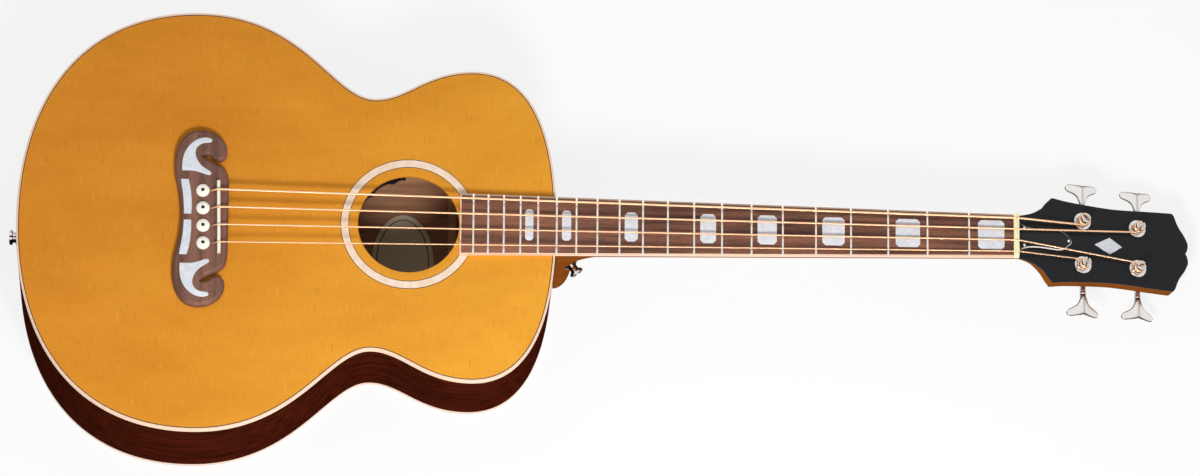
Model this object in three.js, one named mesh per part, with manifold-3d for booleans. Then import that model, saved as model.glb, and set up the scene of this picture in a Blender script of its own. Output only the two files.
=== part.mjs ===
// Four-string acoustic bass guitar with a jumbo body, modelled in millimetres as separate pieces.
// Each piece is made in the soundboard's frame: x from tail to head, y to the bass side, z out of the top.
// The whole guitar is then laid on its back, the way it rests on a bench.
import * as THREE from "three";
import { mergeVertices } from "three/addons/utils/BufferGeometryUtils.js";
import Module from "manifold-3d";

const wasm = await Module();
wasm.setup();
const { PI, sin, cos, tan, atan, acos, abs, hypot, sqrt, floor } = Math;

// Scale and body
const scaleLength = 774.7;
const fretCount = 20;
const jointFret = 15;
const bodyLength = 528.8;
const lowerHalfWidth = 215.2;
const waistHalfWidth = 129.6;
const upperHalfWidth = 160.2;
const tailDepth = 138;
const heelDepth = 106;
const backArch = 4;
const backFlatHalf = 40;

// The body's outline from the tail: where each bout lies, and how far the handles of its curves reach
const boutPlaceShares = [0.3335, 0.6593, 0.8451];
const handleShares = [0.597, 0.644, 0.593, 0.2335, 0.32, 0.492, 0.756, 0.541];
const outlineSteps = 7;
const taper = atan((tailDepth - heelDepth) / bodyLength);

// Clearances: a glued seam, a running fit, and how far a cutter runs past what it cuts
const seam = 0.3;
const running = 0.3;
const overrun = 5;
const weld = 1e-4;

// Plates, ribs and trim of the body
const soundboardThickness = 3.4;
const backThickness = 4;
const ribThickness = 3.2;
const bindingWidth = 2;
const bindingHeight = 6.5;
const liningWidth = 6.5;
const liningTipWidth = 2.5;
const liningHeight = 13;
const soundholeRadius = 49.5;
const soundholeToBoard = 0.5;
const rosetteInner = 58.5;
const rosetteOuter = 66.8;
const rosetteThickness = 1.4;

// Blocks and braces
const braceToNeckBlock = 13;
const neckBlockHalfWidth = 52;
const tailBlockLength = 34;
const tailBlockHalfWidth = 46;
const braceWidth = 8;
const braceHeight = 15;
const braceTipHeight = 4;
const braceTipLength = 55;
const crossHalfAngle = 0.803;
const crossToPreamp = 2.4;
const transverseToBoardEnd = 20;
const bridgePlateLength = 56;
const bridgePlateToBrace = 17;
const bridgePlateThickness = 3;
const backBraceShares = [0.24, 0.5, 0.811];

// Neck, heel and headstock
const neckJointGap = 0.3;
const nutHalfWidth = 21.75;
const boardEndHalfWidth = 31.4;
const boardPastLastFret = 13.3;
const boardThickness = 6;
const boardCrownRadius = 305;
const neckDepthAtNut = 15;
const neckDepthAtHeel = 18.5;
const neckProfileSteps = 10;
const heelHalfWidth = 29.3;
const heelReachAtCap = 18.5;
const heelReachAtNeck = 78;
const heelToBack = 1;
const heelSteps = 12;
const tenonLength = 24;
const tenonNeckHalfWidth = 14;
const tenonTipHalfWidth = 18;
const tenonDepth = 74;
const headAngle = 0.2443;
const headLength = 177.6;
const headHalfWidth = 43.7;
const headThickness = 15;
const headFaceRise = 2;
const veneerThickness = 1;
const fretWidth = 2.4;
const fretHeight = 1.1;
const nutThickness = 5.4;
const nutAboveStrings = 0.4;

// Truss rod and its cover
const rodRadius = 2.6;
const rodBelowBoard = 5.5;
const rodFromHeel = 22;
const rodHexAcross = 7;
const rodHexLength = 11;
const coverLength = 54.6;
const coverHalfWidth = 13.2;
const coverThickness = 2;
const coverBevel = 0.7;

// Bridge, saddle and pins
const bridgeHalfLength = 90.4;
const bridgeWidth = 54.8;
const bridgeHeight = 8.5;
const bridgeBevel = 1.5;
const bridgeFrontToSaddle = 9.4;
const compensation = 5.2;
const saddleLength = 74;
const saddleWidth = 3.4;
const saddleSlant = 0.027;
const saddleSlotDepth = 4.5;
const saddleTop = 12.6;
const pinToSaddle = 15.4;
const pinHeadRadius = 6.75;
const pinHeadHeight = 3.6;
const pinTopRadius = 2.9;
const pinTipRadius = 2.1;
const pinLength = 24;
const pinToString = 4.6;

// Strings: radius of each from the lowest pitch to the highest, and their spread at saddle and nut
const stringRadii = [1.15, 0.95, 0.8, 0.65];
const saddleSpacing = 18;
const nutSpacing = 11.4;
const actionAtNut = 0.7;
const stringSides = 6;
const ballRadius = 2;
const ballLength = 4.4;
const windingStepsPerTurn = 24;
const windingGap = 0.5;

// Machine heads
const nearPostAt = 66.5;
const farPostAt = 124;
const nearPostOffset = 22.5;
const farPostOffset = 20.7;
const postRadius = 3.6;
const postTopRadius = 4.7;
const postRise = 12.7;
const postFlange = 1.7;
const postSlotDepth = 4.9;
const bushingRadius = 5.5;
const bushingLength = 9;
const washerRadius = 9;
const washerThickness = 0.9;
const hexAcross = 12.4;
const hexThickness = 2;
const plateLength = 36;
const plateWidth = 20;
const plateThickness = 1.6;
const plateCorner = 3.2;
const wheelTeeth = 16;
const wheelRadius = 5.4;
const wheelThickness = 4;
const wormRadius = 2.2;
const toothHeight = 0.5;
const toothGap = 0.3;
const wormLength = 6.6;
const wormSides = 7;
const wormStepsPerTurn = 7;
const keyShaftRadius = 1.5;
const wormAxisBelowPlate = 5.4;
const earThickness = 2.2;
const earHalfWidth = 2.9;
const earGap = 0.25;
const collarRadius = 3.2;
const collarReach = 23.4;
const leafHalfWidth = 16.5;
const leafLength = 22.6;
const leafThickness = 2.8;
const leafFoldShare = 0.3;

// Controls, strap button and jack
const preampStartAngle = 1.64;
const preampEndAngle = 2.64;
const preampDepth = 14;
const preampHeight = 12;
const preampSetback = 1;
const thumbWheelRadius = 7;
const thumbWheelThickness = 4;
const thumbWheelReach = 2.5;
const thumbWheelPin = 1.5;
const knurls = 20;
const knurlDepth = 0.5;
const buttonRadius = 6.9;
const buttonHeight = 12;
const buttonWaistRadius = 4.2;
const buttonRimThickness = 2.6;
const buttonFootThickness = 1.6;
const buttonAboveBack = 62;
const buttonTurn = 0.61;
const buttonSink = 1.2;
const screwRadius = 2;
const screwLength = 14;
const jackCapRadius = 7.4;
const jackNeckRadius = 5.2;
const jackReach = 8.6;
const jackCapThickness = 3.2;
const jackFlangeThickness = 1.6;
const jackBarrelRadius = 5.8;
const jackBoreRadius = 3.3;
const jackBoreLength = 30;
const jackLength = 42;

// Places that follow from the sizes above
const fretPlace = (n) => scaleLength * (1 - 2 ** (-n / 12));
const nutAt = bodyLength + fretPlace(jointFret);
const nutBack = nutAt + seam + nutThickness;
const headAt = nutBack + seam;
const boardEnd = nutAt - fretPlace(fretCount) - boardPastLastFret;
const soundholeAt = boardEnd - soundholeToBoard - soundholeRadius;
const saddleAt = nutAt - scaleLength - compensation;
const bridgeFront = saddleAt + bridgeFrontToSaddle;
const preampReach = soundholeRadius + preampSetback + preampDepth;
const crossingAt = soundholeAt - (preampReach + crossToPreamp + braceWidth / 2) / sin(crossHalfAngle);
const transverseAt = boardEnd + transverseToBoardEnd;
const neckBlockLength = bodyLength - (transverseAt + braceWidth / 2 + braceToNeckBlock);
const boardTop = seam + boardThickness;
const stringRestAtNut = boardTop + fretHeight + actionAtNut;
const ribTop = -(soundboardThickness + seam);
const bindingRecess = bindingWidth + seam;
const insideRibs = ribThickness + seam;
const insideLinings = insideRibs + liningWidth + seam;
const plateTop = -headThickness - seam;
const wormAxis = plateTop - plateThickness - wormAxisBelowPlate;
const wormOffset = wheelRadius + wormRadius + toothGap;
const threadPitch = (2 * PI * wheelRadius) / wheelTeeth;
const jackHeight = -tailDepth / 2;

// Materials: colour, roughness and metalness of each finish
const finish = (color, roughness, metalness = 0) =>
  new THREE.MeshStandardMaterial({ color, roughness, metalness });
const spruce = finish("#df9631", 0.25);
const darkMaple = finish("#45180b", 0.3);
const creamTrim = finish("#f0d3b4", 0.4);
const rawWood = finish("#b98a56", 0.7);
const amberMaple = finish("#b5651a", 0.3);
const boardWood = finish("#7d5743", 0.6);
const bone = finish("#f7ecc8", 0.4);
const blackGloss = finish("#1d1e20", 0.2);
const blackPlastic = finish("#161616", 0.5);
const nickel = finish("#cfc9c0", 0.3, 1);
const steel = finish("#8f9194", 0.4, 1);
const bronze = finish("#c98f55", 0.35, 1);

// Turns a closed geometry into a solid, facing out whichever way its profile ran
function solidOf(geometry) {
  const bare = new THREE.BufferGeometry().setAttribute("position", geometry.getAttribute("position"));
  bare.setIndex(geometry.index);
  const merged = mergeVertices(bare, weld);
  const place = merged.getAttribute("position");
  const corner = [0, 1, 2].map(() => new THREE.Vector3());
  const triangles = [];
  let volume = 0;
  for (let i = 0; i < merged.index.count; i += 3) {
    const [a, b, c] = [0, 1, 2].map((k) => merged.index.getX(i + k));
    if (a === b || b === c || c === a) continue;
    triangles.push(a, b, c);
    [a, b, c].forEach((index, k) => corner[k].fromBufferAttribute(place, index));
    volume += corner[0].dot(corner[1].cross(corner[2]));
  }
  if (volume < 0) triangles.reverse();
  const vertProperties = new Float32Array(place.array);
  return new wasm.Manifold(new wasm.Mesh({ numProp: 3, vertProperties, triVerts: new Uint32Array(triangles) }));
}

// A solid as a flat-shaded three.js geometry
function geometryOf(solid) {
  const mesh = solid.getMesh();
  const geometry = new THREE.BufferGeometry();
  geometry.setAttribute("position", new THREE.BufferAttribute(mesh.vertProperties, 3));
  geometry.setIndex(new THREE.BufferAttribute(mesh.triVerts, 1));
  const flat = geometry.toNonIndexed();
  flat.computeVertexNormals();
  return flat;
}

const cut = (solid, ...tools) => tools.reduce((rest, tool) => rest.subtract(tool), solid);
const join = (solid, ...others) => others.reduce((whole, other) => whole.add(other), solid);

// Adds a named piece to its group
function piece(group, name, material, solid) {
  const mesh = new THREE.Mesh(geometryOf(solid), material);
  mesh.name = name;
  group.add(mesh);
  return mesh;
}

// A box between two corners
function block(x0, x1, y0, y1, z0, z1) {
  const geometry = new THREE.BoxGeometry(x1 - x0, y1 - y0, z1 - z0);
  return solidOf(geometry.translate((x0 + x1) / 2, (y0 + y1) / 2, (z0 + z1) / 2));
}

// A flat outline with holes, raised from low to high
function plate(outline, low, high, holes = [], curveSegments = 6) {
  const shape = outline instanceof THREE.Shape ? outline : new THREE.Shape(outline);
  shape.holes = holes;
  const geometry = new THREE.ExtrudeGeometry(shape, { depth: high - low, bevelEnabled: false, curveSegments });
  return solidOf(geometry.translate(0, 0, low));
}

// The same with a chamfer round the top edge only: the lower chamfer is cut away
function chamferedPlate(outline, low, high, chamfer, curveSegments = 2) {
  const options = { depth: high - low, bevelEnabled: true, bevelSegments: 1, curveSegments };
  Object.assign(options, { bevelSize: chamfer, bevelThickness: chamfer, bevelOffset: -chamfer });
  const geometry = new THREE.ExtrudeGeometry(outline, options).translate(0, 0, low - chamfer);
  geometry.computeBoundingBox();
  const box = geometry.boundingBox;
  const below = block(box.min.x - overrun, box.max.x + overrun, box.min.y - overrun, box.max.y + overrun,
    low - overrun, low);
  return cut(solidOf(geometry), below);
}

// A round bar along z, from low to high
function bar(radius, low, high, sides = 20) {
  const geometry = new THREE.CylinderGeometry(radius, radius, high - low, sides);
  return solidOf(geometry.rotateX(PI / 2).translate(0, 0, (low + high) / 2));
}

// A turned piece about z: its profile is a list of radius and height
function turned(profile, sides = 24) {
  const points = profile.map(([radius, height]) => new THREE.Vector2(radius, height));
  return solidOf(new THREE.LatheGeometry(points, sides).rotateX(PI / 2));
}

const circle = (x, y, radius) => new THREE.Path().absarc(x, y, radius, 0, 2 * PI);

// A solid through rings of equally many points, capped at both ends or joined into a loop
function loft(rings, looped = false) {
  const count = rings[0].length;
  const positions = new Float32Array(rings.flat().flatMap((p) => [p.x, p.y, p.z]));
  const triangles = [];
  const links = looped ? rings.length : rings.length - 1;
  for (let i = 0; i < links; i++)
    for (let j = 0; j < count; j++) {
      const next = (j + 1) % count;
      const near = i * count;
      const far = ((i + 1) % rings.length) * count;
      triangles.push(near + j, near + next, far + next, near + j, far + next, far + j);
    }
  if (!looped) triangles.push(...cap(rings, 0, true), ...cap(rings, rings.length - 1, false));
  const geometry = new THREE.BufferGeometry().setAttribute("position", new THREE.BufferAttribute(positions, 3));
  return solidOf(geometry.setIndex(triangles));
}

// Triangles over one ring, seen along the axis in which the ring is thinnest
function cap(rings, at, reversed) {
  const ring = rings[at];
  const size = new THREE.Box3().setFromPoints(ring).getSize(new THREE.Vector3()).toArray();
  const thin = size.indexOf(Math.min(...size));
  const flat = ring.map((p) => new THREE.Vector2(...p.toArray().filter((value, axis) => axis !== thin)));
  const way = Math.sign(THREE.ShapeUtils.area(flat)) * (reversed ? -1 : 1);
  return THREE.ShapeUtils.triangulateShape(flat, []).flatMap((face) => {
    const turn = Math.sign(THREE.ShapeUtils.area(face.map((index) => flat[index])));
    const kept = turn === way ? face : [face[0], face[2], face[1]];
    return kept.map((index) => at * ring.length + index);
  });
}

// A route whose sections stand exactly at its listed points
class Route extends THREE.Curve {
  constructor(points) {
    super();
    this.points = points;
  }
  getUtoTmapping(u) {
    return u;
  }
  getPoint(t, target = new THREE.Vector3()) {
    const along = t * (this.points.length - 1);
    const index = Math.min(floor(along), this.points.length - 2);
    return target.lerpVectors(this.points[index], this.points[index + 1], along - index);
  }
}

// A tube of one radius along a list of points
function tube(points, radius, sides = stringSides) {
  const section = new THREE.Shape();
  for (let k = 0; k < sides; k++) {
    const angle = (2 * PI * k) / sides;
    section[k ? "lineTo" : "moveTo"](radius * cos(angle), radius * sin(angle));
  }
  const options = { steps: points.length - 1, extrudePath: new Route(points) };
  return solidOf(new THREE.ExtrudeGeometry(section, options));
}

// Half of the body's outline, from the tail to the neck, as four curves that meet smoothly
const outlineCurves = (() => {
  const [lower, waist, upper] = boutPlaceShares.map((share) => share * bodyLength);
  const [atTail, lowerBack, lowerFront, waistBack, waistFront, upperBack, upperFront, atHeel] = handleShares;
  const curves = [
    [[0, 0], [0, atTail * lowerHalfWidth], [lower * (1 - lowerBack), lowerHalfWidth], [lower, lowerHalfWidth]],
    [[lower, lowerHalfWidth], [lower + lowerFront * (waist - lower), lowerHalfWidth],
      [waist - waistBack * (waist - lower), waistHalfWidth], [waist, waistHalfWidth]],
    [[waist, waistHalfWidth], [waist + waistFront * (upper - waist), waistHalfWidth],
      [upper - upperBack * (upper - waist), upperHalfWidth], [upper, upperHalfWidth]],
    [[upper, upperHalfWidth], [upper + upperFront * (bodyLength - upper), upperHalfWidth],
      [bodyLength, atHeel * upperHalfWidth], [bodyLength, 0]],
  ];
  return curves.map((points) => new THREE.CubicBezierCurve(...points.map(([x, y]) => new THREE.Vector2(x, y))));
})();

// The bass half of the outline, set in by a distance square to itself
function halfEdge(inset) {
  const half = outlineCurves.flatMap((curve, part) =>
    Array.from({ length: outlineSteps + (part ? 0 : 1) }, (unused, k) => {
      const t = (k + (part ? 1 : 0)) / outlineSteps;
      const point = curve.getPoint(t);
      const way = curve.getTangent(t);
      return new THREE.Vector2(point.x + way.y * inset, point.y - way.x * inset);
    }),
  );
  half[0].y = 0;
  half[half.length - 1].y = 0;
  return half;
}

// The whole outline as one loop
function edge(inset) {
  const half = halfEdge(inset);
  const mirrored = half.slice(1, -1).reverse();
  return [...half, ...mirrored.map((p) => new THREE.Vector2(p.x, -p.y))];
}

const depthAt = (x) => tailDepth + ((heelDepth - tailDepth) * x) / bodyLength;
const archAt = (y) => {
  const past = Math.max(0, abs(y) - backFlatHalf) / (lowerHalfWidth - backFlatHalf);
  return backArch * past * past;
};
const backOutside = (x, y) => archAt(y) - depthAt(x);
const backInside = (x, y) => backOutside(x, y) + backThickness;

// The space between the arched back, raised by a lift, and a ceiling over it
function overBack(lift, ceiling) {
  const reach = lowerHalfWidth + overrun;
  const across = [-1, -0.75, -0.5, -0.3, 0.3, 0.5, 0.75, 1].map((share) => share * reach);
  across[3] = -backFlatHalf;
  across[4] = backFlatHalf;
  const section = (x) => [
    ...across.map((y) => new THREE.Vector3(x, y, backOutside(x, y) + lift)),
    ...across.map((y) => new THREE.Vector3(x, y, ceiling(x, y))).reverse(),
  ];
  return loft([section(-overrun), section(bodyLength + overrun)]);
}

// How far a line from a point runs before it meets the outline set in by a distance
function reachTo(inset, from, way) {
  const loop = edge(inset);
  const hits = loop.map((a, i) => {
    const b = loop[(i + 1) % loop.length];
    const side = new THREE.Vector2().subVectors(b, a);
    const toStart = new THREE.Vector2().subVectors(a, from);
    const cross = way.cross(side);
    const along = toStart.cross(side) / cross;
    const share = toStart.cross(way) / cross;
    return share >= 0 && share <= 1 && along > 0 ? along : Infinity;
  });
  return Math.min(...hits);
}

// The box
function soundboard(cutters) {
  const hole = circle(soundholeAt, 0, soundholeRadius);
  const board = plate(edge(bindingRecess), -soundboardThickness, 0, [hole], 16);
  const channel = ring(rosetteInner - seam, rosetteOuter + seam, -rosetteThickness - seam, overrun);
  return cut(board, channel.translate([soundholeAt, 0, 0]), ...cutters);
}

// A flat ring about z
function ring(inner, outer, low, high, sides = 36) {
  return turned([[inner, low], [outer, low], [outer, high], [inner, high], [inner, low]], sides);
}

const rosette = () => ring(rosetteInner, rosetteOuter, -rosetteThickness, 0).translate([soundholeAt, 0, 0]);

function backPlate() {
  const outline = plate(edge(bindingRecess), -tailDepth - overrun, overrun);
  return outline.intersect(overBack(0, (x, y) => backInside(x, y)));
}

// A bent rib: at each station of the outline its section steps in for both bindings
function rib(side) {
  const at = [0, bindingRecess, ribThickness].map((inset) => halfEdge(inset));
  const sections = at[0].map((unused, k) => {
    const corner = (line, z) => new THREE.Vector3(at[line][k].x, side * at[line][k].y, z(at[line][k]));
    const top = () => ribTop;
    const step = () => -(bindingHeight + seam);
    const foot = (p) => backInside(p.x, p.y) + seam;
    const lowStep = (p) => backOutside(p.x, p.y) + bindingHeight + seam;
    return [corner(0, step), corner(1, step), corner(1, top), corner(2, top), corner(2, foot), corner(1, foot),
      corner(1, lowStep), corner(0, lowStep)];
  });
  const bore = bar(jackBarrelRadius + seam, -overrun, jackLength);
  const jackHole = bore.rotate([0, 90, 0]).translate([0, 0, jackHeight]);
  const middle = block(-overrun, bodyLength + overrun, -seam / 2, seam / 2, -tailDepth, overrun);
  return cut(loft(sections), middle, jackHole, tenon(seam, overrun));
}

// A binding strip: a loop of rectangles round the whole outline, hung from the height of its outer face
function binding(height, low) {
  const outer = edge(0);
  const inner = edge(bindingWidth);
  const sections = outer.map((p, k) => {
    const q = inner[k];
    const [a, b] = [height(p), height(q)];
    const [foot, top] = [low, low + bindingHeight];
    return [new THREE.Vector3(p.x, p.y, a + foot), new THREE.Vector3(q.x, q.y, b + foot),
      new THREE.Vector3(q.x, q.y, b + top), new THREE.Vector3(p.x, p.y, a + top)];
  });
  return loft(sections, true);
}

// A lining strip inside one rib, wide where it is glued to its plate and thin at its tip
function lining(side, base, way) {
  const at = [0, liningWidth, liningTipWidth].map((width) => halfEdge(insideRibs + width));
  const sections = at[0].map((unused, k) => {
    const corner = (line, drop) => {
      const p = at[line][k];
      return new THREE.Vector3(p.x, side * p.y, base(p) + way * drop);
    };
    return [corner(0, 0), corner(1, 0), corner(2, liningHeight), corner(0, liningHeight)];
  });
  const tail = blockSpace(tailBlockLength, tailBlockHalfWidth, false, seam);
  const neck = blockSpace(neckBlockLength, neckBlockHalfWidth, true, seam);
  return cut(loft(sections), tail, neck);
}

// The box that an end block fills, grown by a margin
function blockSpace(length, halfWidth, atNeck, margin) {
  const [start, end] = atNeck ? [bodyLength - length, bodyLength + overrun] : [-overrun, length];
  const grown = halfWidth + margin;
  return block(start - (atNeck ? margin : 0), end + (atNeck ? 0 : margin), -grown, grown, -tailDepth, overrun);
}

// An end block, shaped to the ribs, the top and the arched back
function endBlock(length, halfWidth, atNeck) {
  const inside = plate(edge(insideRibs), -tailDepth - overrun, ribTop);
  const space = inside.intersect(overBack(backThickness + seam, () => ribTop));
  return space.intersect(blockSpace(length, halfWidth, atNeck, 0));
}

function tailBlock() {
  const bore = bar(jackBarrelRadius + seam, -overrun, jackLength + overrun);
  const jackHole = bore.rotate([0, 90, 0]).translate([0, 0, jackHeight]);
  return cut(endBlock(tailBlockLength, tailBlockHalfWidth, false), jackHole);
}

const neckBlock = () => cut(endBlock(neckBlockLength, neckBlockHalfWidth, true), tenon(seam, overrun));

// The dovetail tenon of the neck, grown by a margin when it cuts its mortise
function tenon(margin, above) {
  const start = bodyLength - tenonLength - margin;
  const end = bodyLength + neckJointGap + (margin ? overrun : seam);
  const tip = tenonTipHalfWidth + margin;
  const root = tenonNeckHalfWidth + margin;
  const corners = [[start, -tip], [end, -root], [end, root], [start, tip]];
  const outline = corners.map(([x, y]) => new THREE.Vector2(x, y));
  const top = margin ? above : -(bindingHeight + 2 * seam);
  return plate(outline, -tenonDepth - margin, top);
}

// A brace bar on edge, from back reach to front reach, thinned towards both tips
function braceBar(back, front, width) {
  const outline = [[-back, 0], [front, 0], [front, braceTipHeight], [front - braceTipLength, braceHeight],
    [-back + braceTipLength, braceHeight], [-back, braceTipHeight]].map(([x, y]) => new THREE.Vector2(x, y));
  return plate(outline, -width / 2, width / 2).rotate([-90, 0, 0]);
}

// Two bars, half-lapped where they cross behind the soundhole
function crossBrace() {
  const crossing = new THREE.Vector2(crossingAt, 0);
  const bars = [1, -1].map((side) => {
    const way = new THREE.Vector2(cos(crossHalfAngle), side * sin(crossHalfAngle));
    const margin = insideLinings + braceWidth / 2;
    const front = reachTo(margin, crossing, way);
    const back = reachTo(margin, crossing, way.clone().negate());
    return braceBar(back, front, braceWidth).rotate([0, 0, (side * crossHalfAngle * 180) / PI]);
  });
  return join(...bars).translate([crossingAt, 0, ribTop]);
}

function transverseBrace() {
  const reaches = [-1, 1].map((side) => {
    const from = new THREE.Vector2(transverseAt + (side * braceWidth) / 2, 0);
    return reachTo(insideLinings, from, new THREE.Vector2(0, 1));
  });
  const half = Math.min(...reaches);
  return braceBar(half, half, braceWidth).rotate([0, 0, 90]).translate([transverseAt, 0, ribTop]);
}

// A back brace: its foot follows the arch, its ends are thinned
function backBrace(share) {
  const at = share * bodyLength;
  const reaches = [-1, 1].map((side) => {
    const from = new THREE.Vector2(at + (side * braceWidth) / 2, 0);
    return reachTo(insideLinings, from, new THREE.Vector2(0, 1));
  });
  const half = Math.min(...reaches);
  const across = [-1, -0.75, -0.5, -0.25, 0.25, 0.5, 0.75, 1].map((part) => part * half);
  const height = (y) => Math.min(braceHeight, braceTipHeight +
    ((braceHeight - braceTipHeight) * (half - abs(y))) / braceTipLength);
  const section = (x) => [
    ...across.map((y) => new THREE.Vector3(x, y, backInside(x, y) + seam)),
    ...across.map((y) => new THREE.Vector3(x, y, backInside(x, y) + seam + height(y))).reverse(),
  ];
  return loft([section(at - braceWidth / 2), section(at + braceWidth / 2)]);
}

// The plate under the bridge, as wide as fits between the legs of the crossed braces
function bridgePlate(cutters) {
  const legInside = (crossingAt - bridgeFront) * tan(crossHalfAngle) - braceWidth / 2 / cos(crossHalfAngle);
  const half = legInside - bridgePlateToBrace;
  const low = ribTop - bridgePlateThickness;
  return cut(block(bridgeFront - bridgePlateLength, bridgeFront, -half, half, low, ribTop), ...cutters);
}

// The neck
const boardHalfWidthAt = (x) => {
  const share = (x - boardEnd) / (nutAt - boardEnd);
  return boardEndHalfWidth + (nutHalfWidth - boardEndHalfWidth) * share;
};

// The headstock's frame: its origin lies on the face behind the nut, x towards the tip
const headFrame = new THREE.Matrix4()
  .makeRotationY(headAngle)
  .setPosition(headAt, 0, headFaceRise);
const onHead = (x, y, z) => new THREE.Vector3(x, y, z).applyMatrix4(headFrame);

// Half of the headstock's outline as shares of its length and half width: flare, long side and open-book end
const flareShares = [[0.07, 0.577], [0.115, 0.675], [0.149, 0.783], [0.175, 0.918], [0.194, 0.998]];
const sideShares = [[0.208, 1], [0.287, 0.952], [0.417, 0.908], [0.546, 0.881], [0.66, 0.89], [0.771, 0.911],
  [0.901, 0.925], [0.914, 0.915]];
const endShares = [[0.928, 0.789], [0.935, 0.709], [0.952, 0.577], [0.977, 0.43], [0.997, 0.275], [1, 0.172],
  [0.993, 0.057], [0.985, 0]];

function headOutline(start) {
  const scaled = (shares) => shares.map(([x, y]) => new THREE.Vector2(x * headLength, y * headHalfWidth));
  const half = [new THREE.Vector2(start, nutHalfWidth), ...scaled(flareShares), ...scaled(sideShares),
    ...scaled(endShares)];
  const mirrored = half.slice(0, -1).reverse();
  return [...half, ...mirrored.map((p) => new THREE.Vector2(p.x, -p.y))];
}

// A neck section: flat on top, rounded below, carried into place by a frame
function neckSection(halfWidth, depth, place, roundness = 0.9) {
  return Array.from({ length: neckProfileSteps + 1 }, (unused, k) => {
    const angle = (PI * k) / neckProfileSteps;
    const drop = abs(sin(angle)) ** roundness;
    return place(halfWidth * cos(angle), -depth * drop);
  });
}

// Level sections of the heel, half ellipses from the cap up: depth share, and reach share between cap and neck
const heelShares = [[1, 0], [0.8, 0.02], [0.6, 0.07], [0.42, 0.17], [0.3, 0.32], [0.2, 0.6], [0.12, 1],
  [0.02, 1]];
const heelDrop = heelDepth - heelToBack;
const heelReach = (share) => heelReachAtCap + (heelReachAtNeck - heelReachAtCap) * share;

function heel() {
  const start = bodyLength + neckJointGap;
  const sections = heelShares.map(([depthShare, reachShare]) =>
    Array.from({ length: heelSteps + 1 }, (unused, k) => {
      const angle = (PI * k) / heelSteps - PI / 2;
      const out = Math.max(0, heelReach(reachShare) * cos(angle));
      return new THREE.Vector3(start + out, heelHalfWidth * sin(angle), -heelDrop * depthShare);
    }),
  );
  return loft(sections);
}

// Where the strap button stands on the heel, and which way it points
const buttonWay = new THREE.Vector3(sin(buttonTurn), -cos(buttonTurn), 0);
const buttonSeat = (() => {
  const depthShare = (heelDepth - buttonAboveBack) / heelDrop;
  const upper = heelShares.findIndex(([share]) => share < depthShare);
  const [low, high] = [heelShares[upper - 1], heelShares[upper]];
  const mix = (low[0] - depthShare) / (low[0] - high[0]);
  const reach = heelReach(low[1] + (high[1] - low[1]) * mix);
  const size = hypot(reach * buttonWay.x, heelHalfWidth * buttonWay.y);
  const out = (reach * reach * buttonWay.x) / size;
  const side = (heelHalfWidth * heelHalfWidth * buttonWay.y) / size;
  return new THREE.Vector3(bodyLength + neckJointGap + out, side, buttonAboveBack - heelDepth);
})();

// A frame whose z axis points the given way, at a place
function frameAlong(place, way) {
  const turn = new THREE.Quaternion().setFromUnitVectors(new THREE.Vector3(0, 0, 1), way);
  return new THREE.Matrix4().compose(place, turn, new THREE.Vector3(1, 1, 1));
}
const moved = (solid, matrix) => solid.transform(matrix.toArray());

function neck(cutters) {
  const start = bodyLength + neckJointGap;
  const shaftEnds = [start, bodyLength + (nutAt - bodyLength) / 2, nutAt, headAt];
  const shaft = shaftEnds.map((x) => {
    const share = Math.min(1, (x - start) / (nutAt - start));
    const depth = neckDepthAtHeel + (neckDepthAtNut - neckDepthAtHeel) * share;
    const width = x > nutAt ? nutHalfWidth : boardHalfWidthAt(x);
    return neckSection(width, depth, (y, z) => new THREE.Vector3(x, y, z));
  });
  const coreTop = -(veneerThickness + seam);
  const coreDepth = headThickness + coreTop;
  const blend = flareShares.slice(0, 4).map(([x, y], k) => {
    const depth = coreDepth + (3 - k) * 0.35 * (neckDepthAtNut - coreDepth);
    return neckSection(y * headHalfWidth, depth, (side, z) => onHead(x * headLength, side, coreTop + z), 0.6);
  });
  const core = moved(plate(headOutline(-nutThickness), -headThickness, coreTop), headFrame);
  const ledge = block(nutAt - overrun, headAt, -headHalfWidth, headHalfWidth, 0, headThickness);
  const seat = frameAlong(buttonSeat, buttonWay);
  const spotFace = moved(bar(buttonRadius + seam, -buttonSink, headThickness, 24), seat);
  const pilot = moved(bar(screwRadius + seam, -screwLength - buttonSink - seam, overrun, 12), seat);
  const body = join(loft(shaft), loft([shaft[shaft.length - 1], ...blend]), heel(), core, tenon(0, 0));
  return cut(body, ledge, spotFace, pilot, rodChannel(), ...cutters);
}

// The rod's channel under the fingerboard and its pocket in the headstock
function rodChannel() {
  const half = rodRadius + running;
  const start = bodyLength + rodFromHeel - running;
  const floorAt = -(rodBelowBoard + rodRadius + running);
  const hexHalf = rodHexAcross / sqrt(3) + running;
  const channel = block(start, headAt + overrun, -half, half, floorAt, overrun);
  const pocket = block(nutBack, headAt + rodHexLength + 2 * running, -hexHalf, hexHalf,
    -(rodBelowBoard + hexHalf), headThickness);
  return join(channel, pocket);
}

function trussRod() {
  const start = bodyLength + rodFromHeel;
  const rod = bar(rodRadius, start, headAt + running, 12);
  const hex = bar(rodHexAcross / sqrt(3), headAt, headAt + rodHexLength, 6);
  return join(rod, hex).rotate([0, 90, 0]).translate([0, 0, -rodBelowBoard]);
}

// The fingerboard's crowned top, and the frets that stand across it
const crown = (y) => boardCrownRadius - sqrt(boardCrownRadius ** 2 - y * y);

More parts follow.
